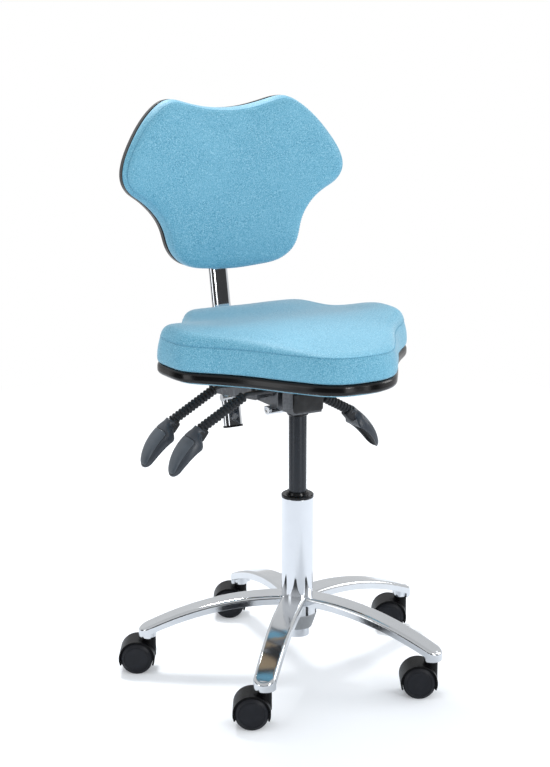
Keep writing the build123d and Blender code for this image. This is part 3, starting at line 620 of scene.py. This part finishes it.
def swell(name, grid, low_pole, high_pole, held, pressure, cap):
    """Grid of rings, and its high pole, after Cloth has filled it: held is each row's pinning, from 0 to 1,
    and no point moves further than cap."""
    piece = closed_rings(name, grid, low_pole, high_pole, cloth)
    rows, columns = grid.shape[:2]
    pins = piece.vertex_groups.new(name="held")
    for row, share in enumerate(held):
        if share > 0:
            pins.add(range(row * columns, (row + 1) * columns), float(share), "REPLACE")
    pins.add([rows * columns], 1.0, "REPLACE")
    cloth_run = piece.modifiers.new("filling", "CLOTH")
    settings = cloth_run.settings
    for key, value in filling.items():
        setattr(settings, key, value)
    settings.uniform_pressure_force = pressure
    settings.vertex_group_mass = "held"
    settings.effector_weights.gravity = 0.0
    cloth_run.collision_settings.use_collision = False
    for step in range(1, filling_steps + 1):
        scene.frame_set(step)
    done = piece.evaluated_get(bpy.context.evaluated_depsgraph_get()).to_mesh()
    flat = np.empty(len(done.vertices) * 3)
    done.vertices.foreach_get("co", flat)
    mesh = piece.data
    bpy.data.objects.remove(piece)
    bpy.data.meshes.remove(mesh)
    scene.frame_set(1)
    moved = flat.reshape(-1, 3)
    start = np.concatenate([grid.reshape(-1, 3), [low_pole, high_pole]])
    shift = moved - start
    size = np.linalg.norm(shift, axis=1, keepdims=True)
    moved = start + shift * np.minimum(1.0, cap / np.maximum(size, 1e-9))
    return moved[:-2].reshape(grid.shape), moved[-1]


def along_rows(grid, old, new):
    """Rows of a grid carried over from old to new places along it, by straight runs."""
    flat = grid.reshape(len(old), -1)
    k = np.clip(np.searchsorted(old, new) - 1, 0, len(old) - 2)
    share = ((new - old[k]) / (old[k + 1] - old[k]))[:, None]
    return (flat[k] * (1 - share) + flat[k + 1] * share).reshape((len(new),) + grid.shape[1:])


def smoothed(shift, first, passes):
    """Shifts averaged with their neighbours, round the whole grid and along its rows from first on, so that
    the filling keeps its broad swell and no wrinkle."""
    for _ in range(passes):
        shift = 0.5 * shift + 0.25 * (np.roll(shift, 1, 1) + np.roll(shift, -1, 1))
        between = 0.5 * shift[first + 1:-1] + 0.25 * (shift[first:-2] + shift[first + 2:])
        shift = np.concatenate([shift[:first + 1], between, shift[-1:]])
    return shift


def stitches(name, line, up):
    """Row of short threads along a closed line: each is a many-sided bead, fat in the middle, that lies
    along the line, a little proud of it. Its stations are (place along, thickness, drop) shares."""
    length, radius = stitch_len * mm, stitch_r * mm
    run = np.linalg.norm(np.roll(line, -1, 0) - line, axis=1)
    start = np.concatenate([[0], np.cumsum(run)])
    count = int(start[-1] / (stitch_pitch * mm))
    at = (np.arange(count) + 0.5) * start[-1] / count
    closed = np.concatenate([line, line[:1]])
    tops = np.concatenate([up, up[:1]])

    def place(s, of):
        return np.stack([np.interp(s % start[-1], start, of[:, i]) for i in range(3)], 1)

    middle = place(at, closed)
    heading = place(at + 0.4 * length, closed) - place(at - 0.4 * length, closed)
    heading /= np.linalg.norm(heading, axis=1)[:, None]
    lift = place(at, tops)
    lift -= heading * (lift * heading).sum(1)[:, None]
    lift /= np.linalg.norm(lift, axis=1)[:, None]
    beside = np.cross(heading, lift)
    turn = np.arange(stitch_sides) * 2 * math.pi / stitch_sides
    stations = np.array([(-0.5, 0.35, -0.6), (-0.25, 0.9, 0.0), (0.25, 0.9, 0.0), (0.5, 0.35, -0.6)])
    ring = []
    for go, fat, drop in stations:
        centre = middle + heading * go * length + lift * (stitch_rise * mm + drop * radius)
        for angle in turn:
            ring.append(centre + (lift * math.sin(angle) + beside * math.cos(angle)) * fat * radius)
    vertices = np.stack(ring, 1)
    each = len(ring)
    shape = ring_faces(len(stations), stitch_sides)
    shape += [list(range(stitch_sides))[::-1], list(range(each - stitch_sides, each))]
    faces = [[k * each + v for v in face] for k in range(count) for face in shape]
    return new_piece(name, vertices.reshape(-1, 3), faces, thread)


def grid_normals(grid):
    """Outward normals of a grid of rings."""
    around = np.roll(grid, -1, 1) - np.roll(grid, 1, 1)
    along = np.gradient(grid, axis=0)
    n = np.cross(around, along)
    return n / np.maximum(np.linalg.norm(n, axis=2, keepdims=True), 1e-12)


def seam_cut(grid, places):
    """Grid with a bell-shaped groove cut along its seam, and each row's share of that groove."""
    near = np.exp(-((places - seam_place) / seam_width) ** 2)
    return grid - grid_normals(grid) * (near * (seam_depth * mm))[:, None, None], near


def seat_surface(x, y):
    """Height of the seat's top over its wall's foot, in mm: a side profile with a ridge under the thighs
    and a dish behind it, a waist that falls off to both sides as a bell in y, and wings that rise smoothly
    at their sides as another."""
    rise = through(seat_top, np.clip(y, seat_top[0][0], seat_top[-1][0]))
    waist = np.minimum((x / waist_x) ** 2, 1) * np.exp(-((y - waist_y) / waist_spread) ** 2)
    rise = rise - waist_fall * waist
    out = np.clip((np.abs(x) - wing_from_x) / (wing_full_x - wing_from_x), 0, 1)
    out = out * out * (3 - 2 * out)
    return seat_wall_top + rise + wing_lift * out * np.exp(-((y - wing_y) / wing_spread) ** 2)


def seat_rings(places, columns):
    """Rings of the seat pad, in mm over its foot, at places along its section: 0 to 1 is the underside
    from its middle, 1 to 2 the side wall up to the seam, 2 to 3 the rolled edge, 3 to 4 the top to its
    middle. The wall bulges as a sine, is tucked in sharply at its foot and leans in to the seam."""
    edge, out = closed_outline(seat_half, columns)
    middle = np.array(seat_middle, float)
    seam_inset = seat_seam_inset
    rings = []
    for p in places:
        if p < 1:
            inner = edge - out * seat_under_inset
            flat = middle + (inner - middle) * p
            z = np.zeros(columns)
        elif p < 2:
            t = p - 1
            bulge = seat_foot_out + seat_wall_bulge * math.sin(math.pi * t)
            tuck = seat_under_inset * (1 - t) ** 24
            flat = edge + out * (bulge - tuck - (seam_inset + seat_foot_out) * t ** 1.5)
            z = np.full(columns, seat_seam_h * t)
        else:
            t = min(p - 2, 1.0)
            arc = 0.5 * math.pi * t
            inset = seam_inset + (seat_roll - seam_inset) * (1 - math.cos(arc))
            flat = edge - out * inset
            if p > 3:
                flat = middle + (flat - middle) * (4 - p)
            top = seat_surface(flat[:, 0], flat[:, 1])
            z = seat_seam_h + (top - seat_seam_h) * math.sin(arc)
        rings.append(np.column_stack([flat, z]))
    return np.array(rings)


def back_frame(points):
    """World place of points across, up and in front of the back, in mm."""
    x, up, out = np.moveaxis(np.asarray(points, float) * mm, -1, 0)
    s, c = math.sin(back_lean), math.cos(back_lean)
    ox, oy, oz = back_origin
    return np.stack([ox + x, oy + up * s - out * c, oz + up * c + out * s], -1)


def back_rings(places, columns):
    """Rings of the back pad, at places along its section: 0 to 1 is its rear on the shell from the middle,
    1 to 2 the side wall up to the seam, 2 to 3 the rolled edge, 3 to 4 the front to its middle. Rear and
    front are arcs across the back, and the front falls away as a square of the height from its middle."""
    edge, out = closed_outline(back_half, columns)
    middle = np.array(back_middle, float)
    upper = np.clip((edge[:, 1:] - back_soft_from) / (back_soft_to - back_soft_from), 0, 1)
    seam_inset = back_seam_inset[0] + (back_seam_inset[1] - back_seam_inset[0]) * upper
    roll = back_roll[0] + (back_roll[1] - back_roll[0]) * upper

    def rear(x):
        return back_curve_r - np.sqrt(back_curve_r ** 2 - x ** 2)

    def front(x, y):
        crown = back_crown * ((y - back_mid) / back_crown_h) ** 2
        return back_t - crown + back_front_r - np.sqrt(back_front_r ** 2 - x ** 2)

    def swelled(flat, depth):
        return flat + out * (back_grow_rear + back_grow_rate * depth)[:, None]

    rings = []
    for p in places:
        if p < 1:
            flat = swelled(edge - out * back_tuck_inset, rear(edge[:, 0]))
            flat = middle + (flat - middle) * p
            z = rear(flat[:, 0]) + back_gap
        elif p < 2:
            t = p - 1
            low = rear(edge[:, 0]) + back_gap
            high = front(edge[:, 0], edge[:, 1]) - back_seam_back
            z = low + (high - low) * t
            bulge = back_wall_bulge * math.sin(math.pi * t) - back_tuck_inset * (1 - t) ** 8
            flat = swelled(edge + out * (bulge - seam_inset * t ** 1.7), z)
        else:
            t = min(p - 2, 1.0)
            arc = 0.5 * math.pi * t
            inset = seam_inset + (roll - seam_inset) * (1 - math.cos(arc))
            high = front(edge[:, 0], edge[:, 1])
            flat = swelled(edge - out * inset, high)
            if p > 3:
                flat = middle + (flat - middle) * (4 - p)
            top = front(flat[:, 0], flat[:, 1])
            foot = high - back_seam_back
            z = foot + (top - foot) * math.sin(arc) if p <= 3 else top
        rings.append(np.column_stack([flat, z]))
    return back_frame(np.array(rings))


def stretched(stretches):
    """Places along a section, from stretches of (first, last, count)."""
    return np.concatenate([np.linspace(*stretch) for stretch in stretches])


def filled(name, rings, columns, fine, pressure, cap):
    """Shift of each point of a pad's fine rings, and of its high pole, when Cloth fills it. Cloth runs on
    coarse rings with fewer points, and its smoothed shift is carried over by straight runs."""
    coarse = stretched(coarse_places)
    thin = columns // filling_thinning
    start = rings(coarse, thin)
    on_seam = np.abs(coarse - seam_place) < row_slack
    held = np.where(coarse < foot_place + row_slack, 1.0, np.where(on_seam, seam_hold, 0.0))
    foot, tip = start[0].mean(0), start[-1].mean(0)
    swollen, top = swell(name + "_filling", start, foot, tip, held, pressure, cap)
    first = int(np.argmax(coarse > seam_place + row_slack))
    even = smoothed(swollen - start, first, filling_smooth_passes)
    shift = along_rows(even, coarse, np.clip(fine, coarse[0], coarse[-1]))
    wide = np.concatenate([shift, shift[:, :1]], 1)
    at = np.arange(columns) * thin / columns
    k = at.astype(int)
    share = (at - k)[None, :, None]
    return wide[:, k] * (1 - share) + wide[:, k + 1] * share, top - tip


def make_pad(name, rings, node, body, columns, pressure, cap):
    """A cushion in place of a node: fine rings, swollen by Cloth, with a seam cut round them and stitches
    laid beside it."""
    fine = stretched(fine_places)
    grid = rings(fine, columns)
    low, high = grid[0].mean(0), grid[-1].mean(0)
    shift, rise = filled(name, rings, columns, fine, pressure, cap)
    grid = grid + shift
    high = high + rise
    grid, near = seam_cut(grid, fine)
    pad = closed_rings(name, grid, low, high, cloth)
    # The seam attribute carries the groove's share, which the cloth darkens as painted shade.
    set_share(pad, "seam", np.repeat(near, columns))
    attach(pad, body)
    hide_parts(node)
    row = int(np.argmin(np.abs(fine - stitch_place)))
    seam = stitches(name + "_stitches", grid[row], grid_normals(grid)[row])
    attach(seam, body)


seat_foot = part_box("seat_cushion")[0].z


def seat_pad_rings(places, columns):
    """Seat pad's rings in the chair's frame."""
    return seat_rings(places, columns) * mm + np.array([0.0, 0.0, seat_foot + seat_gap * mm])


make_pad("seat_pad", seat_pad_rings, "seat_cushion", "seat", seat_columns, seat_pressure, seat_swell * mm)
make_pad("back_pad", back_rings, "back_cushion", "back", back_columns, back_pressure, back_swell * mm)


def spun(name, profile, origin, axis, material, columns):
    """Closed turned piece: a profile of (along, radius) carried round an axis that is not along Y."""
    axis = np.array(axis, float) / np.linalg.norm(axis)
    side = np.cross(axis, (0.0, 1.0, 0.0))
    side /= np.linalg.norm(side)
    other = np.cross(axis, side)
    turn = np.arange(columns) * 2 * math.pi / columns
    spokes = np.cos(turn)[:, None] * side + np.sin(turn)[:, None] * other
    profile = np.array(profile, float)
    grid = np.array(origin) + profile[:, None, :1] * axis + profile[:, None, 1:] * spokes
    low = np.array(origin) + profile[0, 0] * axis
    high = np.array(origin) + profile[-1, 0] * axis
    return closed_rings(name, grid, low, high, material)


def sleeve_length(ribs):
    """Length of a sleeve down its slope, in mm."""
    return (ribs - sleeve_missing) * sleeve_pitch


def lever_sleeve(name, side, ribs):
    """Corrugated sleeve: ribs are raised cosines along its slope, with their crests flattened by a power.
    Its ends close on the rod, the lower one inside the handle's collar."""
    low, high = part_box(name + "_sleeve")
    heading = np.array([side * math.cos(lever_slope), 0.0, -math.sin(lever_slope)])
    length = sleeve_length(ribs) * mm
    start = np.array((low + high) / 2) - heading * length / 2
    length += sleeve_tuck * mm
    x = np.linspace(0.0, length, ribs * sleeve_rib_points)
    ahead = x / mm + 0.5 * sleeve_missing * sleeve_pitch
    wave = 0.5 - 0.5 * np.cos(2 * math.pi * ahead / sleeve_pitch)
    radius = (sleeve_groove_r + (sleeve_r - sleeve_groove_r) * wave ** sleeve_crest) * mm
    ends = [[(0.0, sleeve_end_r * mm)], [(length, sleeve_end_r * mm)]]
    profile = np.concatenate([ends[0], np.column_stack([x, radius]), ends[1]])
    sleeve = spun(name + "_ribs", profile, start, heading, rubber, sleeve_columns)
    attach(sleeve, name)
    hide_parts(name + "_sleeve")


def lever_neck(side, y, z, reach, ribs):
    """Place of a handle's neck, in mm: level reach, sleeve down its slope, then the handle's start."""
    run = sleeve_length(ribs) + lever_bend_r * math.tan(lever_slope / 2) + 2 * sleeve_end_gap
    x = lever_pivot_x + lever_eye_r + reach
    x += run * math.cos(lever_slope) + handle_start * math.cos(lever_dip)
    return side * x, y, z - run * math.sin(lever_slope) - handle_start * math.sin(lever_dip)


def handle_top(x):
    """Height of a handle's top over its own axis, in mm."""
    t, n = handle_t, handle_len
    return through([
        (0, t), (0.25 * n, 1.15 * t), (0.55 * n, 0.95 * t), (0.8 * n, 0.3 * t), (1.03 * n, -0.8 * t),
    ], x)


def handle_rim(x):
    """Height of a handle's lower rim over its own axis, in mm: a step down behind the neck, then level."""
    n = handle_len
    return through([
        (0, -4.0), (0.14 * n, -4.5), (0.21 * n, -8.5), (0.27 * n, -11.2), (0.35 * n, -10.0),
        (0.52 * n, -7.4), (0.75 * n, -7.8), (0.9 * n, -9.6), (n, -10.8),
    ], x)


def handle_width(x):
    """Half width of a handle, in mm, before its tip is rounded."""
    k, n, e = handle_half, handle_neck_half, handle_len
    return through([
        (0, n), (0.08 * e, n), (0.17 * e, 0.5 * (n + k)), (0.26 * e, 0.92 * k), (0.42 * e, k),
        (0.62 * e, 0.95 * k), (0.78 * e, 0.82 * k), (0.9 * e, 0.68 * k), (e, 0.56 * k),
    ], x)


def lever_axes(side):
    """Directions along, across and over a lever's handle."""
    along = np.array([side * math.cos(lever_dip), 0.0, -math.sin(lever_dip)])
    over = np.array([side * math.sin(lever_dip), 0.0, math.cos(lever_dip)])
    return np.array([along, (0.0, 1.0, 0.0), over])


def handle_paddle(name, side, spot):
    """Moulded paddle with a hollow underside. Across it, a rounded arch of the half width w and of the
    height h from rim to top, y = w sin^(2/3), z = rim + h cos^(3/4), goes over, and a smaller arch a wall's
    thickness inside comes back. Along it, w and h close in a round tip. A fine groove runs round a panel
    with round corners on its top."""
    n = handle_len
    x = np.concatenate([
        np.linspace(0.0, 0.22 * n, 10), np.linspace(0.23 * n, 0.29 * n, 22),
        np.linspace(0.3 * n, 0.8 * n, 34),
        n * (0.8 + 0.199 * np.sin(np.linspace(0.03, 1.0, 30) * math.pi / 2)),
    ])[:, None]
    tip = np.clip((x / n - handle_tip_from) / (1 - handle_tip_from), 0, 1)
    width = handle_width(x) * (1 - tip ** 2.6) ** 0.5
    mid = 0.5 * (handle_top(x) + handle_rim(x))
    half = 0.5 * (handle_top(x) - handle_rim(x)) * (1 - tip ** 5) ** 0.5
    rim, height = mid - half, 2 * half

    def arch(angle):
        across = np.sign(np.sin(angle)) * np.abs(np.sin(angle)) ** (2 / 3)
        return across, np.abs(np.cos(angle)) ** 0.75

    edge = np.sin(np.linspace(-1, 1, 15) * math.pi / 2) * 0.14
    border = handle_panel_angle
    steps = np.unique(np.concatenate([
        np.linspace(-math.pi / 2, math.pi / 2, 33), border + edge, -border + edge,
    ]))[None, :]
    across, over = arch(steps)
    ahead = np.maximum(handle_panel_from * n - x, x - handle_panel_to * n) + 0 * steps
    beside = (np.abs(steps) - border) * width
    corner = handle_panel_corner
    outside = np.hypot(np.maximum(ahead + corner, 0), np.maximum(beside + corner, 0)) - corner
    away = outside + np.minimum(np.maximum(ahead, beside) + corner, 0)
    groove = np.exp(-(away / handle_groove_w) ** 2)
    panel = (away < 0).astype(float)
    outer_y = width * across - handle_groove_deep * groove * np.sin(steps)
    outer_z = rim + height * over - handle_groove_deep * groove * np.abs(np.cos(steps))

    back = np.linspace(math.pi / 2, -math.pi / 2, 25)[None, :]
    across, over = arch(back)
    deep = np.clip((x / n - handle_hollow_from) / handle_hollow_run, 0, 1)
    wall = np.minimum(handle_wall, 0.4 * width)
    hollow = np.maximum(height - wall, 0.0) * deep + 0.2 * (1 - deep)
    inner_y = (width - wall) * across
    inner_z = rim + np.minimum(hollow, 0.8 * height) * over

    y = np.concatenate([outer_y, inner_y], 1)
    z = np.concatenate([outer_z, inner_z], 1)
    local = np.stack([x + 0 * y, y, z], -1)
    grid = (np.array(spot) + local @ lever_axes(side)) * mm
    last = (np.array(spot) + np.array([n, 0.0, mid[-1, 0]]) @ lever_axes(side)) * mm
    paddle = closed_rings(name + "_paddle", grid, grid[0].mean(0), last, handle_plastic)
    under = np.zeros(inner_y.shape)
    # Painted shade deep inside the hollow underside joins the groove's painted shade in the groove
    # attribute.
    shade = handle_hollow_shade * np.clip(deep * np.abs(np.cos(back)) * 12, 0, 1)
    set_share(paddle, "groove", np.concatenate([groove, shade], 1))
    set_share(paddle, "panel", np.concatenate([panel, under], 1))
    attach(paddle, name)
    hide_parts(name + "_handle")


def handle_collar(name, side, spot):
    """Blocky rubber collar round a handle's neck: rounded rectangles, cos and sin to a low power, that
    widen along it, with both ends drawn in."""
    t = np.linspace(0.0, 1.0, 22)[:, None]
    turn = np.linspace(0, 2 * math.pi, 48, endpoint=False)[None, :]
    ends = (1 - np.abs(2 * t - 1) ** 9) ** 0.5 + 0.02
    across = np.sign(np.cos(turn)) * np.abs(np.cos(turn)) ** collar_square
    over = np.sign(np.sin(turn)) * np.abs(np.sin(turn)) ** collar_square
    half_w = collar_half_w[0] + (collar_half_w[1] - collar_half_w[0]) * t
    half_t = collar_half_t[0] + (collar_half_t[1] - collar_half_t[0]) * t
    x = collar_from + collar_len * t + 0 * turn
    y = half_w * ends * across
    z = half_t * ends * over - collar_drop
    grid = (np.array(spot) + np.stack([x, y, z], -1) @ lever_axes(side)) * mm
    collar = closed_rings(name + "_collar", grid, grid[0].mean(0), grid[-1].mean(0), rubber)
    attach(collar, name)


for name, (side, y, z, reach, ribs) in levers.items():
    lever_sleeve(name, side, ribs)
    neck = lever_neck(side, y, z, reach, ribs)
    handle_paddle(name, side, neck)
    handle_collar(name, side, neck)


def seat_wrap():
    """Cloth turned under the seat board: a rolled edge that hangs just below the trim, and a thin border
    with a wavy cut edge that lies on the board. Each ring is the outline, offset or drawn in to its
    middle, at a height over the board's underside, and the last ring joins the first."""
    edge, out = closed_outline(seat_half, wrap_columns)
    middle = np.array(seat_middle, float)
    c = np.arange(wrap_columns)
    turn = c * 2 * math.pi / wrap_columns
    cut = wrap_cut + sum(size * np.sin(count * turn + start) for size, count, start in wrap_waves)
    inner = middle + (edge - middle) * cut[:, None]
    lap = edge - out * wrap_inset
    section = [(edge - out * inset, -drop) for inset, drop in wrap_roll]
    section += [(lap + (inner - lap) * share, -wrap_border_drop) for share in np.linspace(0.1, 1.0, 10)]
    section += [(inner, wrap_border_rise), (lap, wrap_border_rise)]
    board_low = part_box("seat_board")[0].z / mm
    rings = [np.column_stack([flat, np.full(wrap_columns, board_low + rise)]) for flat, rise in section]
    vertices = np.concatenate(rings) * mm
    faces = ring_faces(len(rings), wrap_columns)
    d = (c + 1) % wrap_columns
    last = (len(rings) - 1) * wrap_columns
    faces += np.stack([last + c, last + d, d, c], -1).tolist()
    wrap = new_piece("seat_wrap", vertices, outward(vertices, faces), cloth)
    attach(wrap, "seat")


seat_wrap()


# Stage: white floor that keeps the shadow, soft lamps, white surroundings
floor_r = 6.0
floor_sides = 96
floor_plain_r = 0.9
floor_white_r = 2.0
floor_colour = (0.86, 0.885, 0.92, 1.0)
floor_glow = 0.14
# What reflections see: a greyer floor, far off pale walls, but a dim room on the camera's side with two
# bright panels in it, and a grey ceiling. Edges are cosines between which one turns into the other.
mirror_floor_colour = (0.66, 0.69, 0.73, 1.0)
mirror_floor_glow = 0.02
wall_level = 0.68
dim_level = 0.05
dim_side = (-0.707, -0.707, 0.0)
dim_edge = (-0.2, 0.05)
panel_level = 2.0
panel_ways = [(-0.998, -0.06, 0.0), (0.17, -0.985, 0.0)]
panel_edge = (0.978, 0.988)
ceiling_level = (0.74, 0.56)
ceiling_edge = (0.2, 0.45)
air_colour = (0.97, 0.985, 1.0, 1.0)
plain_level = 0.93
# Lamps: place, what it points at, width in metres and watts
lamps = {
    "lamp_key": ((0.08, 1.42, 2.47), (0.0, 0.0, 0.5), 0.55, 42.0),
    "lamp_right": ((2.5, -0.6, 1.5), (0.0, 0.0, 0.45), 1.2, 18.0),
    "lamp_front": ((0.5, -2.9, 1.5), (0.0, 0.0, 0.55), 0.7, 14.0),
}


def far_light(f, heading):
    """Strength of the far surroundings that reflections see along a level heading."""
    toward = [f.node("VectorMath", {0: heading, 1: way}, operation="DOT_PRODUCT").outputs["Value"]
              for way in [dim_side] + panel_ways]
    dim = f.span(toward[0], 0.0, 1.0, *dim_edge)
    panels = f.math("MAXIMUM", *[f.span(dot, 0.0, 1.0, *panel_edge) for dot in toward[1:]])
    room = f.span(dim, wall_level, dim_level)
    lit = f.math("MULTIPLY", panels, f.math("SUBTRACT", panel_level, room))
    return f.math("ADD", room, lit)


def level_heading(f, place):
    """Unit vector along a place's X and Y, with the place's distance from the Z axis."""
    flat = f.node("VectorMath", {0: place, 1: (1.0, 1.0, 0.0)}, operation="MULTIPLY").outputs["Vector"]
    heading = f.node("VectorMath", {0: flat}, operation="NORMALIZE").outputs["Vector"]
    return heading, f.node("VectorMath", {0: flat}, operation="LENGTH").outputs["Value"]


def white_floor():
    """Large pale disc. A little light of its own, for the camera and for reflections only, keeps it white
    round the object's shadow. Further out it fades to plain white, or to the room that reflections see."""
    turn = np.arange(floor_sides) * 2 * math.pi / floor_sides
    rim = np.column_stack([floor_r * np.cos(turn), floor_r * np.sin(turn), np.zeros(floor_sides)])
    f = Finish("floor_white")
    path = f.node("LightPath")
    camera = path.outputs["Is Camera Ray"]
    mirror = f.math("MAXIMUM", path.outputs["Is Glossy Ray"], path.outputs["Is Transmission Ray"])
    paint = f.node("BsdfDiffuse", {"Color": f.mix(mirror, floor_colour, mirror_floor_colour)})
    shown = f.math("MULTIPLY", camera, floor_glow)
    seen_in = f.math("MULTIPLY", mirror, mirror_floor_glow)
    glow = f.node("Emission", {"Strength": f.math("ADD", shown, seen_in)})
    near = f.node("AddShader", {0: paint.outputs[0], 1: glow.outputs[0]})
    heading, radius = level_heading(f, f.place)
    seen = far_light(f, heading)
    out = f.span(radius, 0.0, 1.0, floor_plain_r, floor_white_r)
    white = f.node("Emission", {"Strength": f.math("ADD", camera, f.math("MULTIPLY", mirror, seen))})
    share = f.math("MULTIPLY", out, f.math("MAXIMUM", camera, mirror))
    whole = f.node("MixShader", {0: share, 1: near.outputs[0], 2: white.outputs[0]})
    f.join(f.tree.nodes["Material Output"], {"Surface": whole.outputs[0]})
    f.tree.nodes.remove(f.shader)
    new_piece("floor", rim, [list(range(floor_sides))], f.material)


def white_world():
    """White to the camera. Reflections see the room low down and a greyer ceiling over it, and everything
    else gets plain even light."""
    world = bpy.data.worlds.new("studio")
    world.use_nodes = True
    scene.world = world
    f = Nodes(world.node_tree)
    f.tree.nodes.clear()
    path = f.node("LightPath")
    sky = f.node("TexCoord").outputs["Generated"]
    level = f.node("SeparateXYZ", {"Vector": sky}).outputs["Z"]
    room = far_light(f, level_heading(f, sky)[0])
    ceiling = f.span(level, *ceiling_level, ceiling_edge[0], 1.0)
    high = f.span(level, 0.0, 1.0, *ceiling_edge)
    rise = f.math("MULTIPLY", high, f.math("SUBTRACT", ceiling, room))
    seen = f.math("ADD", room, rise)
    plain = f.node("Background", {"Color": air_colour, "Strength": plain_level})
    mirror = f.node("Background", {"Color": air_colour, "Strength": seen})
    shown = f.node("Background", {"Color": (1.0, 1.0, 1.0, 1.0), "Strength": 1.0})
    bounce = f.math("MAXIMUM", path.outputs["Is Glossy Ray"], path.outputs["Is Transmission Ray"])
    glossy = f.node("MixShader", {0: bounce, 1: plain.outputs[0], 2: mirror.outputs[0]})
    seen_first = path.outputs["Is Camera Ray"]
    direct = f.node("MixShader", {0: seen_first, 1: glossy.outputs[0], 2: shown.outputs[0]})
    f.node("OutputWorld", {"Surface": direct.outputs[0]})


def aimed(name, data, place, aim):
    """Lamp or camera at a place, pointed at another."""
    held = bpy.data.objects.new(name, data)
    held.location = place
    held.rotation_euler = (Vector(aim) - Vector(place)).to_track_quat("-Z", "Y").to_euler()
    scene.collection.objects.link(held)
    return held


def soft_lamp(name, place, aim, size, watts):
    """Square area lamp."""
    lamp = bpy.data.lights.new(name, "AREA")
    lamp.shape = "SQUARE"
    lamp.size = size
    lamp.energy = watts
    aimed(name, lamp, place, aim)


def photo_camera():
    """Camera at the photograph's place, with its view angle set on the frame's height."""
    lens = bpy.data.cameras.new("camera")
    lens.sensor_fit = "VERTICAL"
    lens.sensor_height = film_mm
    lens.lens = focal_px * film_mm / photo_height_px
    lens.clip_end = 200.0
    scene.camera = aimed("camera", lens, camera_from, camera_to)


white_floor()
white_world()
for name, lamp in lamps.items():
    soft_lamp(name, *lamp)
photo_camera()
scene.view_settings.view_transform = "Standard"
